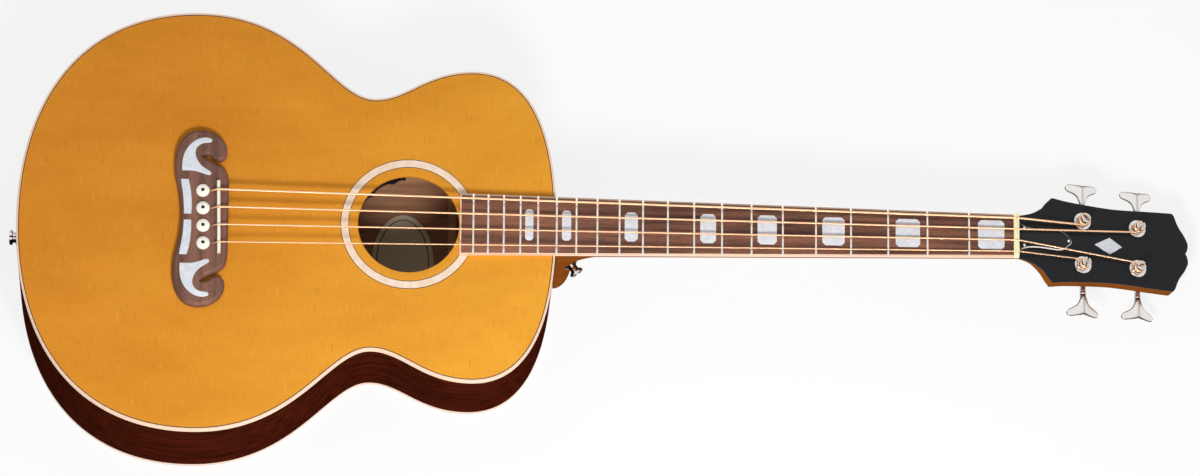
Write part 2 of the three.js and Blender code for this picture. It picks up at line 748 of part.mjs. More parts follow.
function fingerboard() {
  const section = (x, rise) => {
    const half = boardHalfWidthAt(x);
    const across = [1, 0.5, 0, -0.5, -1].map((share) => share * half);
    return [new THREE.Vector3(x, -half, seam), new THREE.Vector3(x, half, seam),
      ...across.map((y) => new THREE.Vector3(x, y, boardTop + rise - crown(y)))];
  };
  const crownShares = [[-1, 0], [-0.5, 1], [0.5, 1], [1, 0]];
  const frets = Array.from({ length: fretCount }, (unused, k) =>
    crownShares.map(([across, up]) =>
      section(nutAt - fretPlace(fretCount - k) + (across * fretWidth) / 2, up * fretHeight)));
  return loft([section(boardEnd, 0), ...frets.flat(), section(nutAt, 0)]);
}

function nut(cutters) {
  const across = [1, 0.5, 0, -0.5, -1].map((share) => share * nutHalfWidth);
  const top = stringRestAtNut + stringRadii[0] + nutAboveStrings;
  const section = (x, drop) => [
    new THREE.Vector3(x, -nutHalfWidth, seam),
    new THREE.Vector3(x, nutHalfWidth, seam),
    ...across.map((y) => new THREE.Vector3(x, y, top - crown(y) - drop)),
  ];
  return cut(loft([section(nutAt + seam, 0), section(nutBack, nutAboveStrings)]), ...cutters);
}

function headVeneer(cutters) {
  const face = plate(headOutline(0), -veneerThickness, 0);
  const hexHalf = rodHexAcross / sqrt(3) + running;
  const pocket = block(-overrun, rodHexLength + 2 * running, -hexHalf, hexHalf, -overrun, overrun);
  return cut(face, pocket, ...cutters);
}

// The bell-shaped cover over the rod's pocket
function rodCover() {
  const bellShares = [[0.06, 0.73], [0.37, 0.7], [0.73, 0.74], [0.87, 0.66], [0.97, 0.25]];
  const half = bellShares.map(([x, y]) => new THREE.Vector2(x * coverLength, y * coverHalfWidth));
  const outline = new THREE.Shape();
  outline.moveTo(seam, -coverHalfWidth);
  half.forEach((p) => outline.lineTo(p.x, -p.y));
  outline.lineTo(coverLength, 0);
  half.reverse().forEach((p) => outline.lineTo(p.x, p.y));
  outline.lineTo(seam, coverHalfWidth);
  return chamferedPlate(outline, seam, seam + coverThickness, coverBevel);
}

// The bridge: half of its moustache outline, as shares of its width from the front edge and of its half length
const bridgeFrontShares = [[0, 0.41], [0.018, 0.505], [0.093, 0.567], [0.24, 0.625], [0.38, 0.66],
  [0.48, 0.713]];
const bridgeLobeShares = [[0.36, 0.72], [0.29, 0.682], [0.216, 0.658], [0.13, 0.657], [0.06, 0.696],
  [0.04, 0.765], [0.08, 0.856], [0.18, 0.935], [0.325, 0.985], [0.495, 1], [0.66, 0.985], [0.8, 0.93], [0.905, 0.84],
  [0.96, 0.737], [0.985, 0.61], [0.965, 0.463], [0.91, 0.312], [0.865, 0.16], [0.853, 0]];

function bridge(cutters) {
  const half = [...bridgeFrontShares, ...bridgeLobeShares].map(([x, y]) =>
    new THREE.Vector2(bridgeFront - x * bridgeWidth, y * bridgeHalfLength));
  const mirrored = half.slice(0, -1).reverse();
  const outline = new THREE.Shape([...half, ...mirrored.map((p) => new THREE.Vector2(p.x, -p.y))]);
  const body = chamferedPlate(outline, seam, bridgeHeight, bridgeBevel, 1);
  return cut(body, saddleBlank(seam, bridgeHeight + overrun), ...cutters);
}

// The saddle, or with a margin the slot that it stands in
function saddleBlank(margin, top) {
  const half = saddleWidth / 2 + margin;
  const reach = saddleLength / 2 + margin;
  const low = bridgeHeight - saddleSlotDepth - margin;
  const blank = block(-half, half, -reach, reach, low, top);
  return blank.rotate([0, 0, (saddleSlant * 180) / PI]).translate([saddleAt, 0, 0]);
}

function saddle() {
  const crest = saddleWidth / 2;
  const outline = new THREE.Shape();
  outline.moveTo(-crest, bridgeHeight - saddleSlotDepth);
  outline.lineTo(crest, bridgeHeight - saddleSlotDepth);
  outline.absarc(0, saddleTop - crest, crest, 0, PI, false);
  const solid = plate(outline, -saddleLength / 2, saddleLength / 2, [], 4);
  return solid.rotate([90, 0, 0]).rotate([0, 0, (saddleSlant * 180) / PI]).translate([saddleAt, 0, 0]);
}

// Where each string lies: across the saddle and the nut, and its pin and post
const stringCount = stringRadii.length;
const saddleY = (k) => ((stringCount - 1) / 2 - k) * saddleSpacing;
const nutY = (k) => ((stringCount - 1) / 2 - k) * nutSpacing;
const saddleX = (y) => saddleAt - y * tan(saddleSlant);
const pinAt = (k) => new THREE.Vector2(saddleX(saddleY(k)) - pinToSaddle, saddleY(k));
const posts = [
  { name: "e", at: nearPostAt, offset: nearPostOffset, side: 1 },
  { name: "a", at: farPostAt, offset: farPostOffset, side: 1 },
  { name: "d", at: farPostAt, offset: farPostOffset, side: -1 },
  { name: "g", at: nearPostAt, offset: nearPostOffset, side: -1 },
];

// A solid bridge pin: its string runs in a slot in front of its hole
function pin(k) {
  const rise = bridgeHeight + seam;
  const top = rise + pinHeadHeight;
  const profile = [[0, rise - pinLength], [pinTipRadius, rise - pinLength], [pinTopRadius, rise],
    [pinHeadRadius, rise], [pinHeadRadius, rise + pinHeadHeight / 3], [pinHeadRadius * 0.7, top], [0, top]];
  return turned(profile, 14).translate([pinAt(k).x, pinAt(k).y, 0]);
}

function pinHole(k) {
  const radius = pinTopRadius + seam;
  return bar(radius, -pinLength, bridgeHeight + overrun, 10).translate([pinAt(k).x, pinAt(k).y, 0]);
}

// A string's route: up from its ball under the bridge plate, over the saddle and nut, then round its post
function stringRoute(k) {
  const radius = stringRadii[k];
  const start = new THREE.Vector3(pinAt(k).x + pinToString, saddleY(k), 0);
  const bend = (saddleWidth / 2 + running + radius) * tan(PI / 8);
  const onSaddle = new THREE.Vector3(saddleX(saddleY(k)) - bend, saddleY(k), saddleTop + running + radius);
  const restHeight = stringRestAtNut - crown(nutY(k)) + radius;
  const onNut = new THREE.Vector3(nutAt + seam, nutY(k), restHeight);
  const ballHeight = ribTop - bridgePlateThickness - running - ballRadius;
  const ramp = onSaddle.z - (onSaddle.x - start.x);
  const bridgeSide = [start.clone().setZ(ballHeight), start.clone().setZ(ramp), onSaddle];
  return [...bridgeSide, onNut, ...postRoute(k, onNut)];
}

// The turns round the post, in the headstock's frame: up from the tangent point, in by the slot, down its hole
const slotFloor = postRise - postSlotDepth;
const postCentre = (k) => new THREE.Vector2(posts[k].at, posts[k].side * posts[k].offset);

function windingOf(k, onNut) {
  const radius = stringRadii[k];
  const centre = postCentre(k);
  const toHead = headFrame.clone().invert();
  const leave = new THREE.Vector3(nutBack, onNut.y, onNut.z - nutAboveStrings).applyMatrix4(toHead);
  const coil = postRadius + running + radius;
  const back = new THREE.Vector2(leave.x - centre.x, leave.y - centre.y);
  const start = back.angle() + posts[k].side * acos(coil / back.length());
  const first = seam + washerThickness + hexThickness + running + radius;
  const rise = 2 * radius + windingGap;
  const turns = (slotFloor + running + radius - first) / rise;
  const end = start + posts[k].side * 2 * PI * turns;
  return { radius, centre, leave, coil, start, first, rise, turns, end };
}

function postRoute(k, onNut) {
  const { radius, centre, leave, coil, start, first, rise, turns, end } = windingOf(k, onNut);
  const steps = Math.round(turns * windingStepsPerTurn);
  const round = (angle, reach, height) =>
    onHead(centre.x + reach * cos(angle), centre.y + reach * sin(angle), height);
  const wound = Array.from({ length: steps + 1 }, (unused, n) => {
    const share = (n / steps) * turns;
    return round(start + posts[k].side * 2 * PI * share, coil, first + rise * share);
  });
  const top = first + rise * turns;
  const inward = [round(end, postRadius * 0.6, top), round(end, radius, top)];
  const down = [round(end, 0, top - radius), round(end, 0, slotFloor - postSlotDepth)];
  return [onHead(leave.x, leave.y, leave.z), ...wound, ...inward, ...down];
}

// The slot across the post's top, in line with the end of the winding, and the hole down its middle
function postSlot(k, onNut) {
  const { radius, end } = windingOf(k, onNut);
  const half = radius + running;
  const turn = posts[k].side * end;
  const slot = block(-2 * postTopRadius, 2 * postTopRadius, -half, half, slotFloor, postRise + overrun);
  const hole = bar(half, slotFloor - postSlotDepth - running, postRise, 8);
  return join(slot.rotate([0, 0, (turn * 180) / PI]), hole);
}

// The least gap between one part of a winding and the rest of the same string
function leastGap(route, radius) {
  let least = Infinity;
  route.forEach((p, i) => {
    for (let j = i + windingStepsPerTurn / 2; j < route.length; j++)
      least = Math.min(least, p.distanceTo(route[j]) - 2 * radius);
  });
  return least;
}

function string(k, route) {
  const ball = bar(ballRadius, -ballLength / 2, ballLength / 2, 12).rotate([90, 0, 0]);
  return join(tube(route, stringRadii[k]), ball.translate(route[0].toArray()));
}

// A machine head stands in its own frame: z along the post out of the face, y towards its button
const hexRadius = hexAcross / sqrt(3);

function bushing() {
  const sleeve = bar(bushingRadius, -bushingLength, seam + washerThickness, 12);
  const washer = bar(washerRadius, seam, seam + washerThickness, 18);
  const hex = bar(hexRadius, seam, seam + washerThickness + hexThickness, 6);
  return cut(join(sleeve, washer, hex), bar(postRadius + running, -headThickness, headThickness, 12));
}

function post(slot) {
  const low = wormAxis - wheelThickness / 2 - seam - postFlange;
  const waistTop = postRise - postFlange;
  const profile = [[0, low], [postRadius, low], [postRadius, waistTop - seam], [postTopRadius, waistTop],
    [postTopRadius, postRise - seam], [postTopRadius - seam, postRise], [0, postRise]];
  return cut(turned(profile, 14), slot);
}

// A worm wheel: its rim swings in and out once for each tooth, and its teeth lean with the thread
function wormWheel() {
  const pointsPerTooth = 2;
  const lean = (threadPitch / (2 * PI * wormRadius)) * (wheelThickness / 2 / wheelRadius);
  const section = (side) => Array.from({ length: wheelTeeth * pointsPerTooth }, (unused, k) => {
    const phase = (2 * PI * k) / pointsPerTooth;
    const radius = wheelRadius + toothHeight * cos(phase);
    const angle = phase / wheelTeeth + side * lean;
    return new THREE.Vector3(radius * cos(angle), radius * sin(angle), wormAxis + (side * wheelThickness) / 2);
  });
  return cut(loft([section(-1), section(1)]), bar(postRadius + seam, wormAxis - headThickness, 0, 14));
}

// The thread: a round section carried off centre, that goes round once in each pitch
function worm() {
  const steps = Math.round((wormLength / threadPitch) * wormStepsPerTurn);
  const sections = Array.from({ length: steps + 1 }, (unused, n) => {
    const along = ((n - steps / 2) / wormStepsPerTurn) * threadPitch;
    const phase = (2 * PI * along) / threadPitch + PI / 2;
    return Array.from({ length: wormSides }, (also, k) => {
      const angle = phase + (2 * PI * k) / wormSides;
      const x = toothHeight * sin(phase) + wormRadius * sin(angle);
      const z = toothHeight * cos(phase) + wormRadius * cos(angle);
      return new THREE.Vector3(x, along, z);
    });
  });
  return loft(sections);
}

// The button's leaf: stations across it, each from its inner to its outer edge, folded along the middle
const leafShares = [[1, 0.8, 0.87], [0.92, 0.72, 0.97], [0.7, 0.6, 1], [0.45, 0.46, 0.97], [0.28, 0.26, 0.95],
  [0.19, 0, 0.95], [0, 0, 0.95]];

function leaf() {
  const mirrored = leafShares.slice(0, -1).reverse().map(([across, inner, outer]) => [-across, inner, outer]);
  const sections = [...leafShares, ...mirrored].map(([across, inner, outer]) => {
    const x = across * leafHalfWidth;
    const middle = leafFoldShare * (leafHalfWidth / 2 - abs(x));
    const half = (leafThickness / 2) * (1 - 0.35 * abs(across));
    const [near, far] = [inner, outer].map((share) => collarReach + share * leafLength);
    const corners = [[near, -half], [far, -half], [far, half], [near, half]];
    return corners.map(([y, z]) => new THREE.Vector3(x, y, middle + z));
  });
  return loft(sections);
}

// Worm, shaft, collar and leaf turn as one
function key() {
  const earOutside = wormLength / 2 + earGap + earThickness;
  const wormEnd = wormLength / 2 - seam;
  const stemShares = [[1, 0], [0.85, 0.3], [0.4, 0.8]];
  const stem = stemShares.map(([across, along]) => [across * collarRadius, collarReach + along * leafLength]);
  const profile = [[0, wormEnd], [keyShaftRadius, wormEnd], [keyShaftRadius, earOutside + earGap],
    [collarRadius, earOutside + earGap], ...stem, [0, stem[2][1]]];
  const shaft = turned(profile, 8).rotate([-90, 0, 0]);
  const stub = bar(keyShaftRadius, -earOutside - seam, -wormEnd, 8).rotate([-90, 0, 0]);
  return join(worm(), shaft, stub, leaf()).translate([wormOffset, 0, wormAxis]);
}

// The base plate with the two ears that carry the worm's shaft
function basePlate() {
  const [halfLength, halfWidth] = [plateLength / 2, plateWidth / 2];
  const outline = new THREE.Shape();
  outline.moveTo(-halfLength + plateCorner, -halfWidth);
  outline.absarc(halfLength - plateCorner, -halfWidth + plateCorner, plateCorner, -PI / 2, 0);
  outline.absarc(halfLength - plateCorner, halfWidth - plateCorner, plateCorner, 0, PI / 2);
  outline.absarc(-halfLength + plateCorner, halfWidth - plateCorner, plateCorner, PI / 2, PI);
  outline.absarc(-halfLength + plateCorner, -halfWidth + plateCorner, plateCorner, PI, 1.5 * PI);
  const base = plate(outline, plateTop - plateThickness, plateTop, [], 2);
  const earAt = wormLength / 2 + earGap + earThickness / 2;
  const ears = [1, -1].map((side) => ear().translate([wormOffset, side * earAt, 0]));
  const postHole = bar(postRadius + running, -2 * headThickness, 0, 12);
  const shaftHole = bar(keyShaftRadius + running, -plateWidth, plateWidth, 8).rotate([90, 0, 0]);
  return cut(join(base, ...ears), postHole, shaftHole.translate([wormOffset, 0, wormAxis]));
}

function ear() {
  const outline = new THREE.Shape();
  outline.moveTo(earHalfWidth, plateTop - plateThickness / 2);
  outline.lineTo(-earHalfWidth, plateTop - plateThickness / 2);
  outline.absarc(0, wormAxis, earHalfWidth, PI, 2 * PI);
  return plate(outline, -earThickness / 2, earThickness / 2, [], 4).rotate([90, 0, 0]);
}

// The controls under the rim of the soundhole: an arched housing with a pocket and a pin for each thumb wheel
const preampHigh = ribTop;
const wheelTop = preampHigh - (preampHeight - thumbWheelThickness) / 2;
const wheelAngles = [0.25, 0.75].map((share) => preampStartAngle + share * (preampEndAngle - preampStartAngle));
const wheelPlace = (angle) => {
  const radius = soundholeRadius - thumbWheelReach + thumbWheelRadius;
  return [soundholeAt + radius * cos(angle), radius * sin(angle), 0];
};

function preampHousing() {
  const inner = soundholeRadius + preampSetback;
  const outline = new THREE.Shape();
  outline.absarc(0, 0, preampReach, preampStartAngle, preampEndAngle);
  outline.absarc(0, 0, inner, preampEndAngle, preampStartAngle, true);
  const body = plate(outline, preampHigh - preampHeight, preampHigh, [], 8).translate([soundholeAt, 0, 0]);
  const pockets = wheelAngles.map((angle) => {
    const [low, high] = [wheelTop - thumbWheelThickness - running, wheelTop + running];
    const space = bar(thumbWheelRadius + running + seam, low, high, 14);
    return cut(space, bar(thumbWheelPin, -preampHeight - overrun, 0, 8)).translate(wheelPlace(angle));
  });
  return cut(body, ...pockets);
}

function thumbWheel() {
  const rim = Array.from({ length: 2 * knurls }, (unused, k) => {
    const radius = thumbWheelRadius - (k % 2) * knurlDepth;
    const angle = (PI * k) / knurls;
    return new THREE.Vector2(radius * cos(angle), radius * sin(angle));
  });
  return plate(rim, wheelTop - thumbWheelThickness, wheelTop, [circle(0, 0, thumbWheelPin + running)], 5);
}

// The strap button with its screw, and the jack that doubles as the tail strap button: both stand along z
function strapButton() {
  const foot = buttonFootThickness;
  const rim = buttonHeight - buttonRimThickness;
  return turned([[0, -screwLength], [screwRadius, -screwLength], [screwRadius, seam], [buttonRadius, seam],
    [buttonRadius, foot], [buttonWaistRadius, foot * 2], [buttonWaistRadius, rim - foot], [buttonRadius, rim],
    [buttonRadius, buttonHeight - seam], [buttonRadius - seam, buttonHeight], [0, buttonHeight]], 14);
}

function endpinJack() {
  const cap = jackReach - jackCapThickness;
  return turned([[0, jackReach - jackBoreLength], [jackBoreRadius, jackReach - jackBoreLength],
    [jackBoreRadius, jackReach], [jackCapRadius, jackReach], [jackCapRadius, cap], [jackNeckRadius, cap - seam],
    [jackNeckRadius, jackFlangeThickness + 2 * seam], [jackCapRadius, jackFlangeThickness + seam],
    [jackCapRadius, seam], [jackBarrelRadius, seam], [jackBarrelRadius, -jackLength], [0, -jackLength]], 14);
}

// Assembly
const guitar = new THREE.Group();
guitar.rotation.y = taper;

const routes = stringRadii.map((radius, k) => stringRoute(k));
const grooves = routes.map((route, k) => tube(route.slice(0, 4), stringRadii[k] + running));
const pinHoles = stringRadii.map((radius, k) => pinHole(k));
const nutSlots = routes.map((route, k) => tube(route.slice(2, 6), stringRadii[k] + running));
const throughTop = [...pinHoles, ...grooves];

piece(guitar, "soundboard", spruce, soundboard(throughTop));
piece(guitar, "rosette", creamTrim, rosette());
piece(guitar, "back_plate", darkMaple, backPlate());
piece(guitar, "side_bass", darkMaple, rib(1));
piece(guitar, "side_treble", darkMaple, rib(-1));
piece(guitar, "binding_top", creamTrim, binding(() => 0, -bindingHeight));
piece(guitar, "binding_back", creamTrim, binding((p) => backOutside(p.x, p.y), 0));
for (const [name, side] of [["bass", 1], ["treble", -1]]) {
  piece(guitar, "lining_top_" + name, rawWood, lining(side, () => ribTop, -1));
  piece(guitar, "lining_back_" + name, rawWood, lining(side, (p) => backInside(p.x, p.y) + seam, 1));
}
piece(guitar, "neck_block", rawWood, neckBlock());
piece(guitar, "tail_block", rawWood, tailBlock());
piece(guitar, "x_brace", rawWood, crossBrace());
piece(guitar, "transverse_brace", rawWood, transverseBrace());
piece(guitar, "bridge_plate", rawWood, bridgePlate(throughTop));
backBraceShares.forEach((share, k) => piece(guitar, "back_brace_" + (k + 1), rawWood, backBrace(share)));

const postHoles = posts.map((p) =>
  bar(bushingRadius + seam, -2 * headThickness, headThickness, 12).translate([p.at, p.side * p.offset, 0]));
piece(guitar, "neck", amberMaple, neck(postHoles.map((hole) => moved(hole, headFrame))));
piece(guitar, "truss_rod", steel, trussRod());
piece(guitar, "fingerboard", boardWood, fingerboard());
piece(guitar, "nut", bone, nut(nutSlots));

piece(guitar, "bridge", boardWood, bridge(throughTop));
piece(guitar, "saddle", bone, saddle());
posts.forEach((post, k) => {
  piece(guitar, "bridge_pin_" + post.name, bone, pin(k));
  piece(guitar, "string_" + post.name, bronze, string(k, routes[k]));
  const least = leastGap(routes[k].slice(4), stringRadii[k]);
  console.log("string_" + post.name + " least gap to itself", least.toFixed(2));
});

const head = new THREE.Group();
head.applyMatrix4(headFrame);
guitar.add(head);
piece(head, "headstock_face", blackGloss, headVeneer(postHoles));
piece(head, "truss_rod_cover", blackPlastic, rodCover());

posts.forEach((place, k) => {
  const tuner = new THREE.Group();
  tuner.position.set(place.at, place.side * place.offset, 0);
  tuner.scale.y = place.side;
  head.add(tuner);
  piece(tuner, "bushing_" + place.name, nickel, bushing());
  piece(tuner, "post_" + place.name, nickel, post(postSlot(k, routes[k][3])));
  piece(tuner, "worm_wheel_" + place.name, bronze, wormWheel());
  piece(tuner, "key_" + place.name, nickel, key());
  piece(tuner, "base_plate_" + place.name, nickel, basePlate());
});

piece(guitar, "preamp_housing", blackPlastic, preampHousing());
["volume_wheel", "tone_wheel"].forEach((name, k) => {
  const wheel = piece(guitar, name, blackPlastic, thumbWheel());
  wheel.position.set(...wheelPlace(wheelAngles[1 - k]));
});

const button = piece(guitar, "strap_button", nickel, strapButton());
button.applyMatrix4(frameAlong(buttonSeat.clone().addScaledVector(buttonWay, -buttonSink), buttonWay));
const jack = piece(guitar, "endpin_jack", nickel, endpinJack());
jack.applyMatrix4(frameAlong(new THREE.Vector3(0, 0, jackHeight), new THREE.Vector3(-1, 0, 0)));

// The guitar lies on its back, with the origin on the bench under the middle of its outline
const root = new THREE.Group();
root.add(guitar);
const box = new THREE.Box3().setFromObject(root, true);
const middle = box.getCenter(new THREE.Vector3());
guitar.position.set(-middle.x, -middle.y, -box.min.z);

export default root;
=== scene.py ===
"""Finish and fine shapes of an acoustic bass guitar with a jumbo body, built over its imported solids."""

import math

import bmesh
import bpy
import numpy as np
from mathutils import Matrix


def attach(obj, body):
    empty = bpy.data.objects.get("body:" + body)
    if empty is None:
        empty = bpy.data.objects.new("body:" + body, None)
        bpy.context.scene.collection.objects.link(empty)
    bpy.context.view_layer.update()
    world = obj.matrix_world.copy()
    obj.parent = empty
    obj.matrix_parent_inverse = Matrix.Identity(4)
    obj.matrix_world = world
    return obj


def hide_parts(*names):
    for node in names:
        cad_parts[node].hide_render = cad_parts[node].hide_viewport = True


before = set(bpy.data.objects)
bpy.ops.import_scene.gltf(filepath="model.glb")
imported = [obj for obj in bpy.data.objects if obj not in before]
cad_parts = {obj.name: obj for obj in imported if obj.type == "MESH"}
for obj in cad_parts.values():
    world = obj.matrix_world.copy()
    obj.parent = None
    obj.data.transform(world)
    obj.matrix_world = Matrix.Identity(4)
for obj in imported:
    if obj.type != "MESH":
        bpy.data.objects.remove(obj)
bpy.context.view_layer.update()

# How the guitar lies: on its back on a bench, where the taper of its sides tilts the soundboard by 3.5
# degrees. Pieces are worked out in the soundboard's own frame, in millimetres: x from the tail to the head,
# y to the bass side and z out of the top. on_bench() turns those into the bench's metres.
BODY_LENGTH = 528.8
TAIL_DEPTH, HEEL_DEPTH = 138.0, 106.0
TAPER = math.atan((TAIL_DEPTH - HEEL_DEPTH) / BODY_LENGTH)
TAIL_ON_BENCH = np.array([-0.569166, 0.0, 0.137885])


def tilted(angle):
    """The axes of a frame tipped forward about y by an angle: one row for each axis."""
    cosine, sine = math.cos(angle), math.sin(angle)
    return np.array([[cosine, 0, -sine], [0, 1, 0], [sine, 0, cosine]])


def on_bench(points):
    """Soundboard millimetres to bench metres: the tail's place plus each coordinate times its tilted axis."""
    return TAIL_ON_BENCH + np.asarray(points, float) @ tilted(TAPER) / 1000


# The camera stands where the photograph was taken from: seven metres off, a little towards the treble side,
# and turned slightly so that the neck runs down to the right.
FOCAL_PIXELS, PIXELS_WIDE, SENSOR_WIDTH = 7208.3, 1200, 36
TILT, ROLL, SWING = 0.320679, -0.021700, -0.041822
AIM = np.array([567.8, 0, 0])
FROM_AIM = np.array([3.713, -9.662, 7071.67])

tilt_turn = np.array([[1, 0, 0], [0, math.cos(TILT), math.sin(TILT)], [0, -math.sin(TILT), math.cos(TILT)]])
roll_turn = np.array([[math.cos(ROLL), -math.sin(ROLL), 0], [math.sin(ROLL), math.cos(ROLL), 0], [0, 0, 1]])
view_axes = roll_turn @ tilted(SWING) @ tilt_turn
camera_matrix = np.eye(4)
camera_matrix[:3, :3] = (view_axes @ tilted(TAPER)).T
camera_matrix[:3, 3] = on_bench(AIM + FROM_AIM @ view_axes)

camera = bpy.data.objects.new("camera", bpy.data.cameras.new("camera"))
bpy.context.scene.collection.objects.link(camera)
camera.data.sensor_width = SENSOR_WIDTH
camera.data.lens = FOCAL_PIXELS / PIXELS_WIDE * SENSOR_WIDTH
camera.data.clip_end = 100
camera.matrix_world = Matrix(camera_matrix)
bpy.context.scene.camera = camera
bpy.context.scene.view_settings.view_transform = "Standard"


# The room: a white bench top and soft light. One broad lamp stands beyond the treble side towards the head,
# as the shadows of the strings and bridge show, and a weak one opposite; the rest is even light from all
# round.
LAMP_PLACE, LAMP_SIZE, LAMP_POWER = (0.06, -1.12, 1.3), 0.42, 23
FILL_PLACE, FILL_SIZE, FILL_POWER = (-1.2, 2.4, 3.2), 2.4, 12
ROOM_LIGHT = 0.34
SHADOW_SHARE = 0.16
BENCH_SIZE, BENCH_GREY = 12, 0.95


def add(tree, kind, settings={}):
    """Adds one node and gives its outputs. A setting is a property of the node, the value of one of its
    inputs, or a socket that feeds one."""
    made = tree.nodes.new("ShaderNode" + kind)
    for key, value in settings.items():
        if isinstance(value, bpy.types.NodeSocket):
            tree.links.new(value, made.inputs[key])
        elif isinstance(key, int) or key in made.inputs:
            made.inputs[key].default_value = value
        else:
            setattr(made, key, value)
    return made.outputs


def seen_directly(tree):
    """One for a ray from the camera, a mirror or glass, and nought for a ray that only carries light."""
    path = add(tree, "LightPath")
    first = add(tree, "Math", {"operation": "MAXIMUM", 0: path["Is Camera Ray"], 1: path["Is Glossy Ray"]})
    return add(tree, "Math", {"operation": "MAXIMUM", 0: first[0], 1: path["Is Transmission Ray"]})[0]


world = bpy.data.worlds.new("room")
bpy.context.scene.world = world
world.use_nodes = True
room = world.node_tree
room.nodes.clear()
shining = add(room, "Mix", {"data_type": "FLOAT", 0: seen_directly(room), 2: ROOM_LIGHT, 3: 1.0})
backdrop = add(room, "Background", {"Color": (1, 1, 1, 1), "Strength": shining[0]})
add(room, "OutputWorld", {"Surface": backdrop[0]})

for name, place, size, power in (("main_lamp", LAMP_PLACE, LAMP_SIZE, LAMP_POWER),
                                 ("fill_lamp", FILL_PLACE, FILL_SIZE, FILL_POWER)):
    lamp = bpy.data.objects.new(name, bpy.data.lights.new(name, "AREA"))
    bpy.context.scene.collection.objects.link(lamp)
    lamp.data.shape, lamp.data.size, lamp.data.energy = "DISK", size, power
    lamp.location = place
    lamp.rotation_euler = (-lamp.location).to_track_quat("-Z", "Y").to_euler()

bpy.ops.mesh.primitive_plane_add(size=BENCH_SIZE, location=(0, 0, 0))
bench = bpy.context.object
bench.name = "bench"
white_top = bpy.data.materials.new("white_bench")
white_top.use_nodes = True
bench.data.materials.append(white_top)
tree = white_top.node_tree
tree.nodes.clear()
lit = add(tree, "BsdfDiffuse", {"Color": (BENCH_GREY, BENCH_GREY, BENCH_GREY, 1)})
glow = add(tree, "Emission", {"Color": (1, 1, 1, 1), "Strength": 1.0})
even = add(tree, "Math", {"operation": "MULTIPLY", 0: seen_directly(tree), 1: 1 - SHADOW_SHARE})
mixed = add(tree, "MixShader", {0: even[0], 1: lit[0], 2: glow[0]})
add(tree, "OutputMaterial", {"Surface": mixed[0]})


# The soundboard: two matched halves of spruce, 3.4 mm thick, glued along the middle and lacquered amber.
# Its round hole has an eased edge, and a shallow channel round it holds the rosette.
TOP_THICKNESS = 3.4
HOLE_AT, HOLE_RADIUS = 383.79, 49.5
CHANNEL_INNER, CHANNEL_OUTER, CHANNEL_DEPTH = 58.4, 66.9, 1.5
BINDING_WIDTH, BINDING_HEIGHT = 2.0, 6.5
PURFLING_WIDTH = 0.9
LOWER_HALF, WAIST_HALF, UPPER_HALF = 215.2, 129.6, 160.2
LOWER_AT, WAIST_AT, UPPER_AT = 0.3335 * BODY_LENGTH, 0.6593 * BODY_LENGTH, 0.8451 * BODY_LENGTH
SPRUCE_LIGHT, SPRUCE_DEEP, SPRUCE_LINE = "#E39432", "#D28328", "#B06A1E"
# The tint (1.14, 1.34, 1.3) is painted light: it brightens and yellows the top towards the lamp's side.
SPRUCE_FLECK, SPRUCE_SILK, PAINTED_LIGHT_TINT = "#B8701F", "#EDA743", (1.14, 1.34, 1.3, 1)
GRAIN_MM, GRAIN_FROM_SEAM, GRAIN_POWER, GRAIN_STRENGTH = 1.6, 6.75, 0.8, 0.13
WANDER_MM, WANDER_BY, BAND_MM = 200, 4.0, (166.7, 58.8, 1000)
FLECK_MM, SILK_MM, SILK_START = (1.923, 13.33, 1000), (2.083, 16.13, 1000), (3, 5, 0)


def linear(code):
    """An sRGB hex colour as linear RGBA: c / 12.92 below 0.04045, and ((c + 0.055) / 1.055) ^ 2.4 above."""
    channels = [int(code[i:i + 2], 16) / 255 for i in (1, 3, 5)]
    return (*(c / 12.92 if c < 0.04045 else ((c + 0.055) / 1.055) ** 2.4 for c in channels), 1.0)


def bezier(a, b, c, d, steps=48):
    """Points along a cubic curve, without its last: (1-t)^3 a + 3t(1-t)^2 b + 3t^2(1-t) c + t^3 d."""
    t = np.linspace(0, 1, steps, endpoint=False)[:, None]
    a, b, c, d = (np.array(p, float) for p in (a, b, c, d))
    return (1 - t) ** 3 * a + 3 * t * (1 - t) ** 2 * b + 3 * t ** 2 * (1 - t) * c + t ** 3 * d


def inset(loop, distance):
    """Moves each point of a closed outline inwards, square to the chord between its two neighbours."""
    ahead = np.roll(loop, -1, 0) - np.roll(loop, 1, 0)
    area = np.sum(loop[:, 0] * np.roll(loop[:, 1], -1) - loop[:, 1] * np.roll(loop[:, 0], -1))
    inward = np.stack([-ahead[:, 1], ahead[:, 0]], 1) / np.linalg.norm(ahead, axis=1, keepdims=True)
    return loop + inward * distance * np.sign(area)


waist_run, upper_run, heel_run = WAIST_AT - LOWER_AT, UPPER_AT - WAIST_AT, BODY_LENGTH - UPPER_AT
bass_half = np.vstack([
    bezier((0, 0), (0, 0.597 * LOWER_HALF), (0.356 * LOWER_AT, LOWER_HALF), (LOWER_AT, LOWER_HALF)),
    bezier((LOWER_AT, LOWER_HALF), (LOWER_AT + 0.593 * waist_run, LOWER_HALF),
           (WAIST_AT - 0.2335 * waist_run, WAIST_HALF), (WAIST_AT, WAIST_HALF)),
    bezier((WAIST_AT, WAIST_HALF), (WAIST_AT + 0.32 * upper_run, WAIST_HALF),
           (UPPER_AT - 0.492 * upper_run, UPPER_HALF), (UPPER_AT, UPPER_HALF)),
    bezier((UPPER_AT, UPPER_HALF), (UPPER_AT + 0.756 * heel_run, UPPER_HALF),
           (BODY_LENGTH, 0.541 * UPPER_HALF), (BODY_LENGTH, 0)),
    [(BODY_LENGTH, 0)],
])


def closed(half):
    """A half outline and its mirror image over y = 0, as one loop."""
    mirrored = half[::-1] * (1, -1)
    return np.vstack([half, mirrored[mirrored[:, 1] != 0]])


outline = closed(bass_half)


def raised(loop, heights):
    """Gives each point of an outline its height: one number, or one for each point."""
    return np.column_stack([loop, np.broadcast_to(heights, len(loop))])


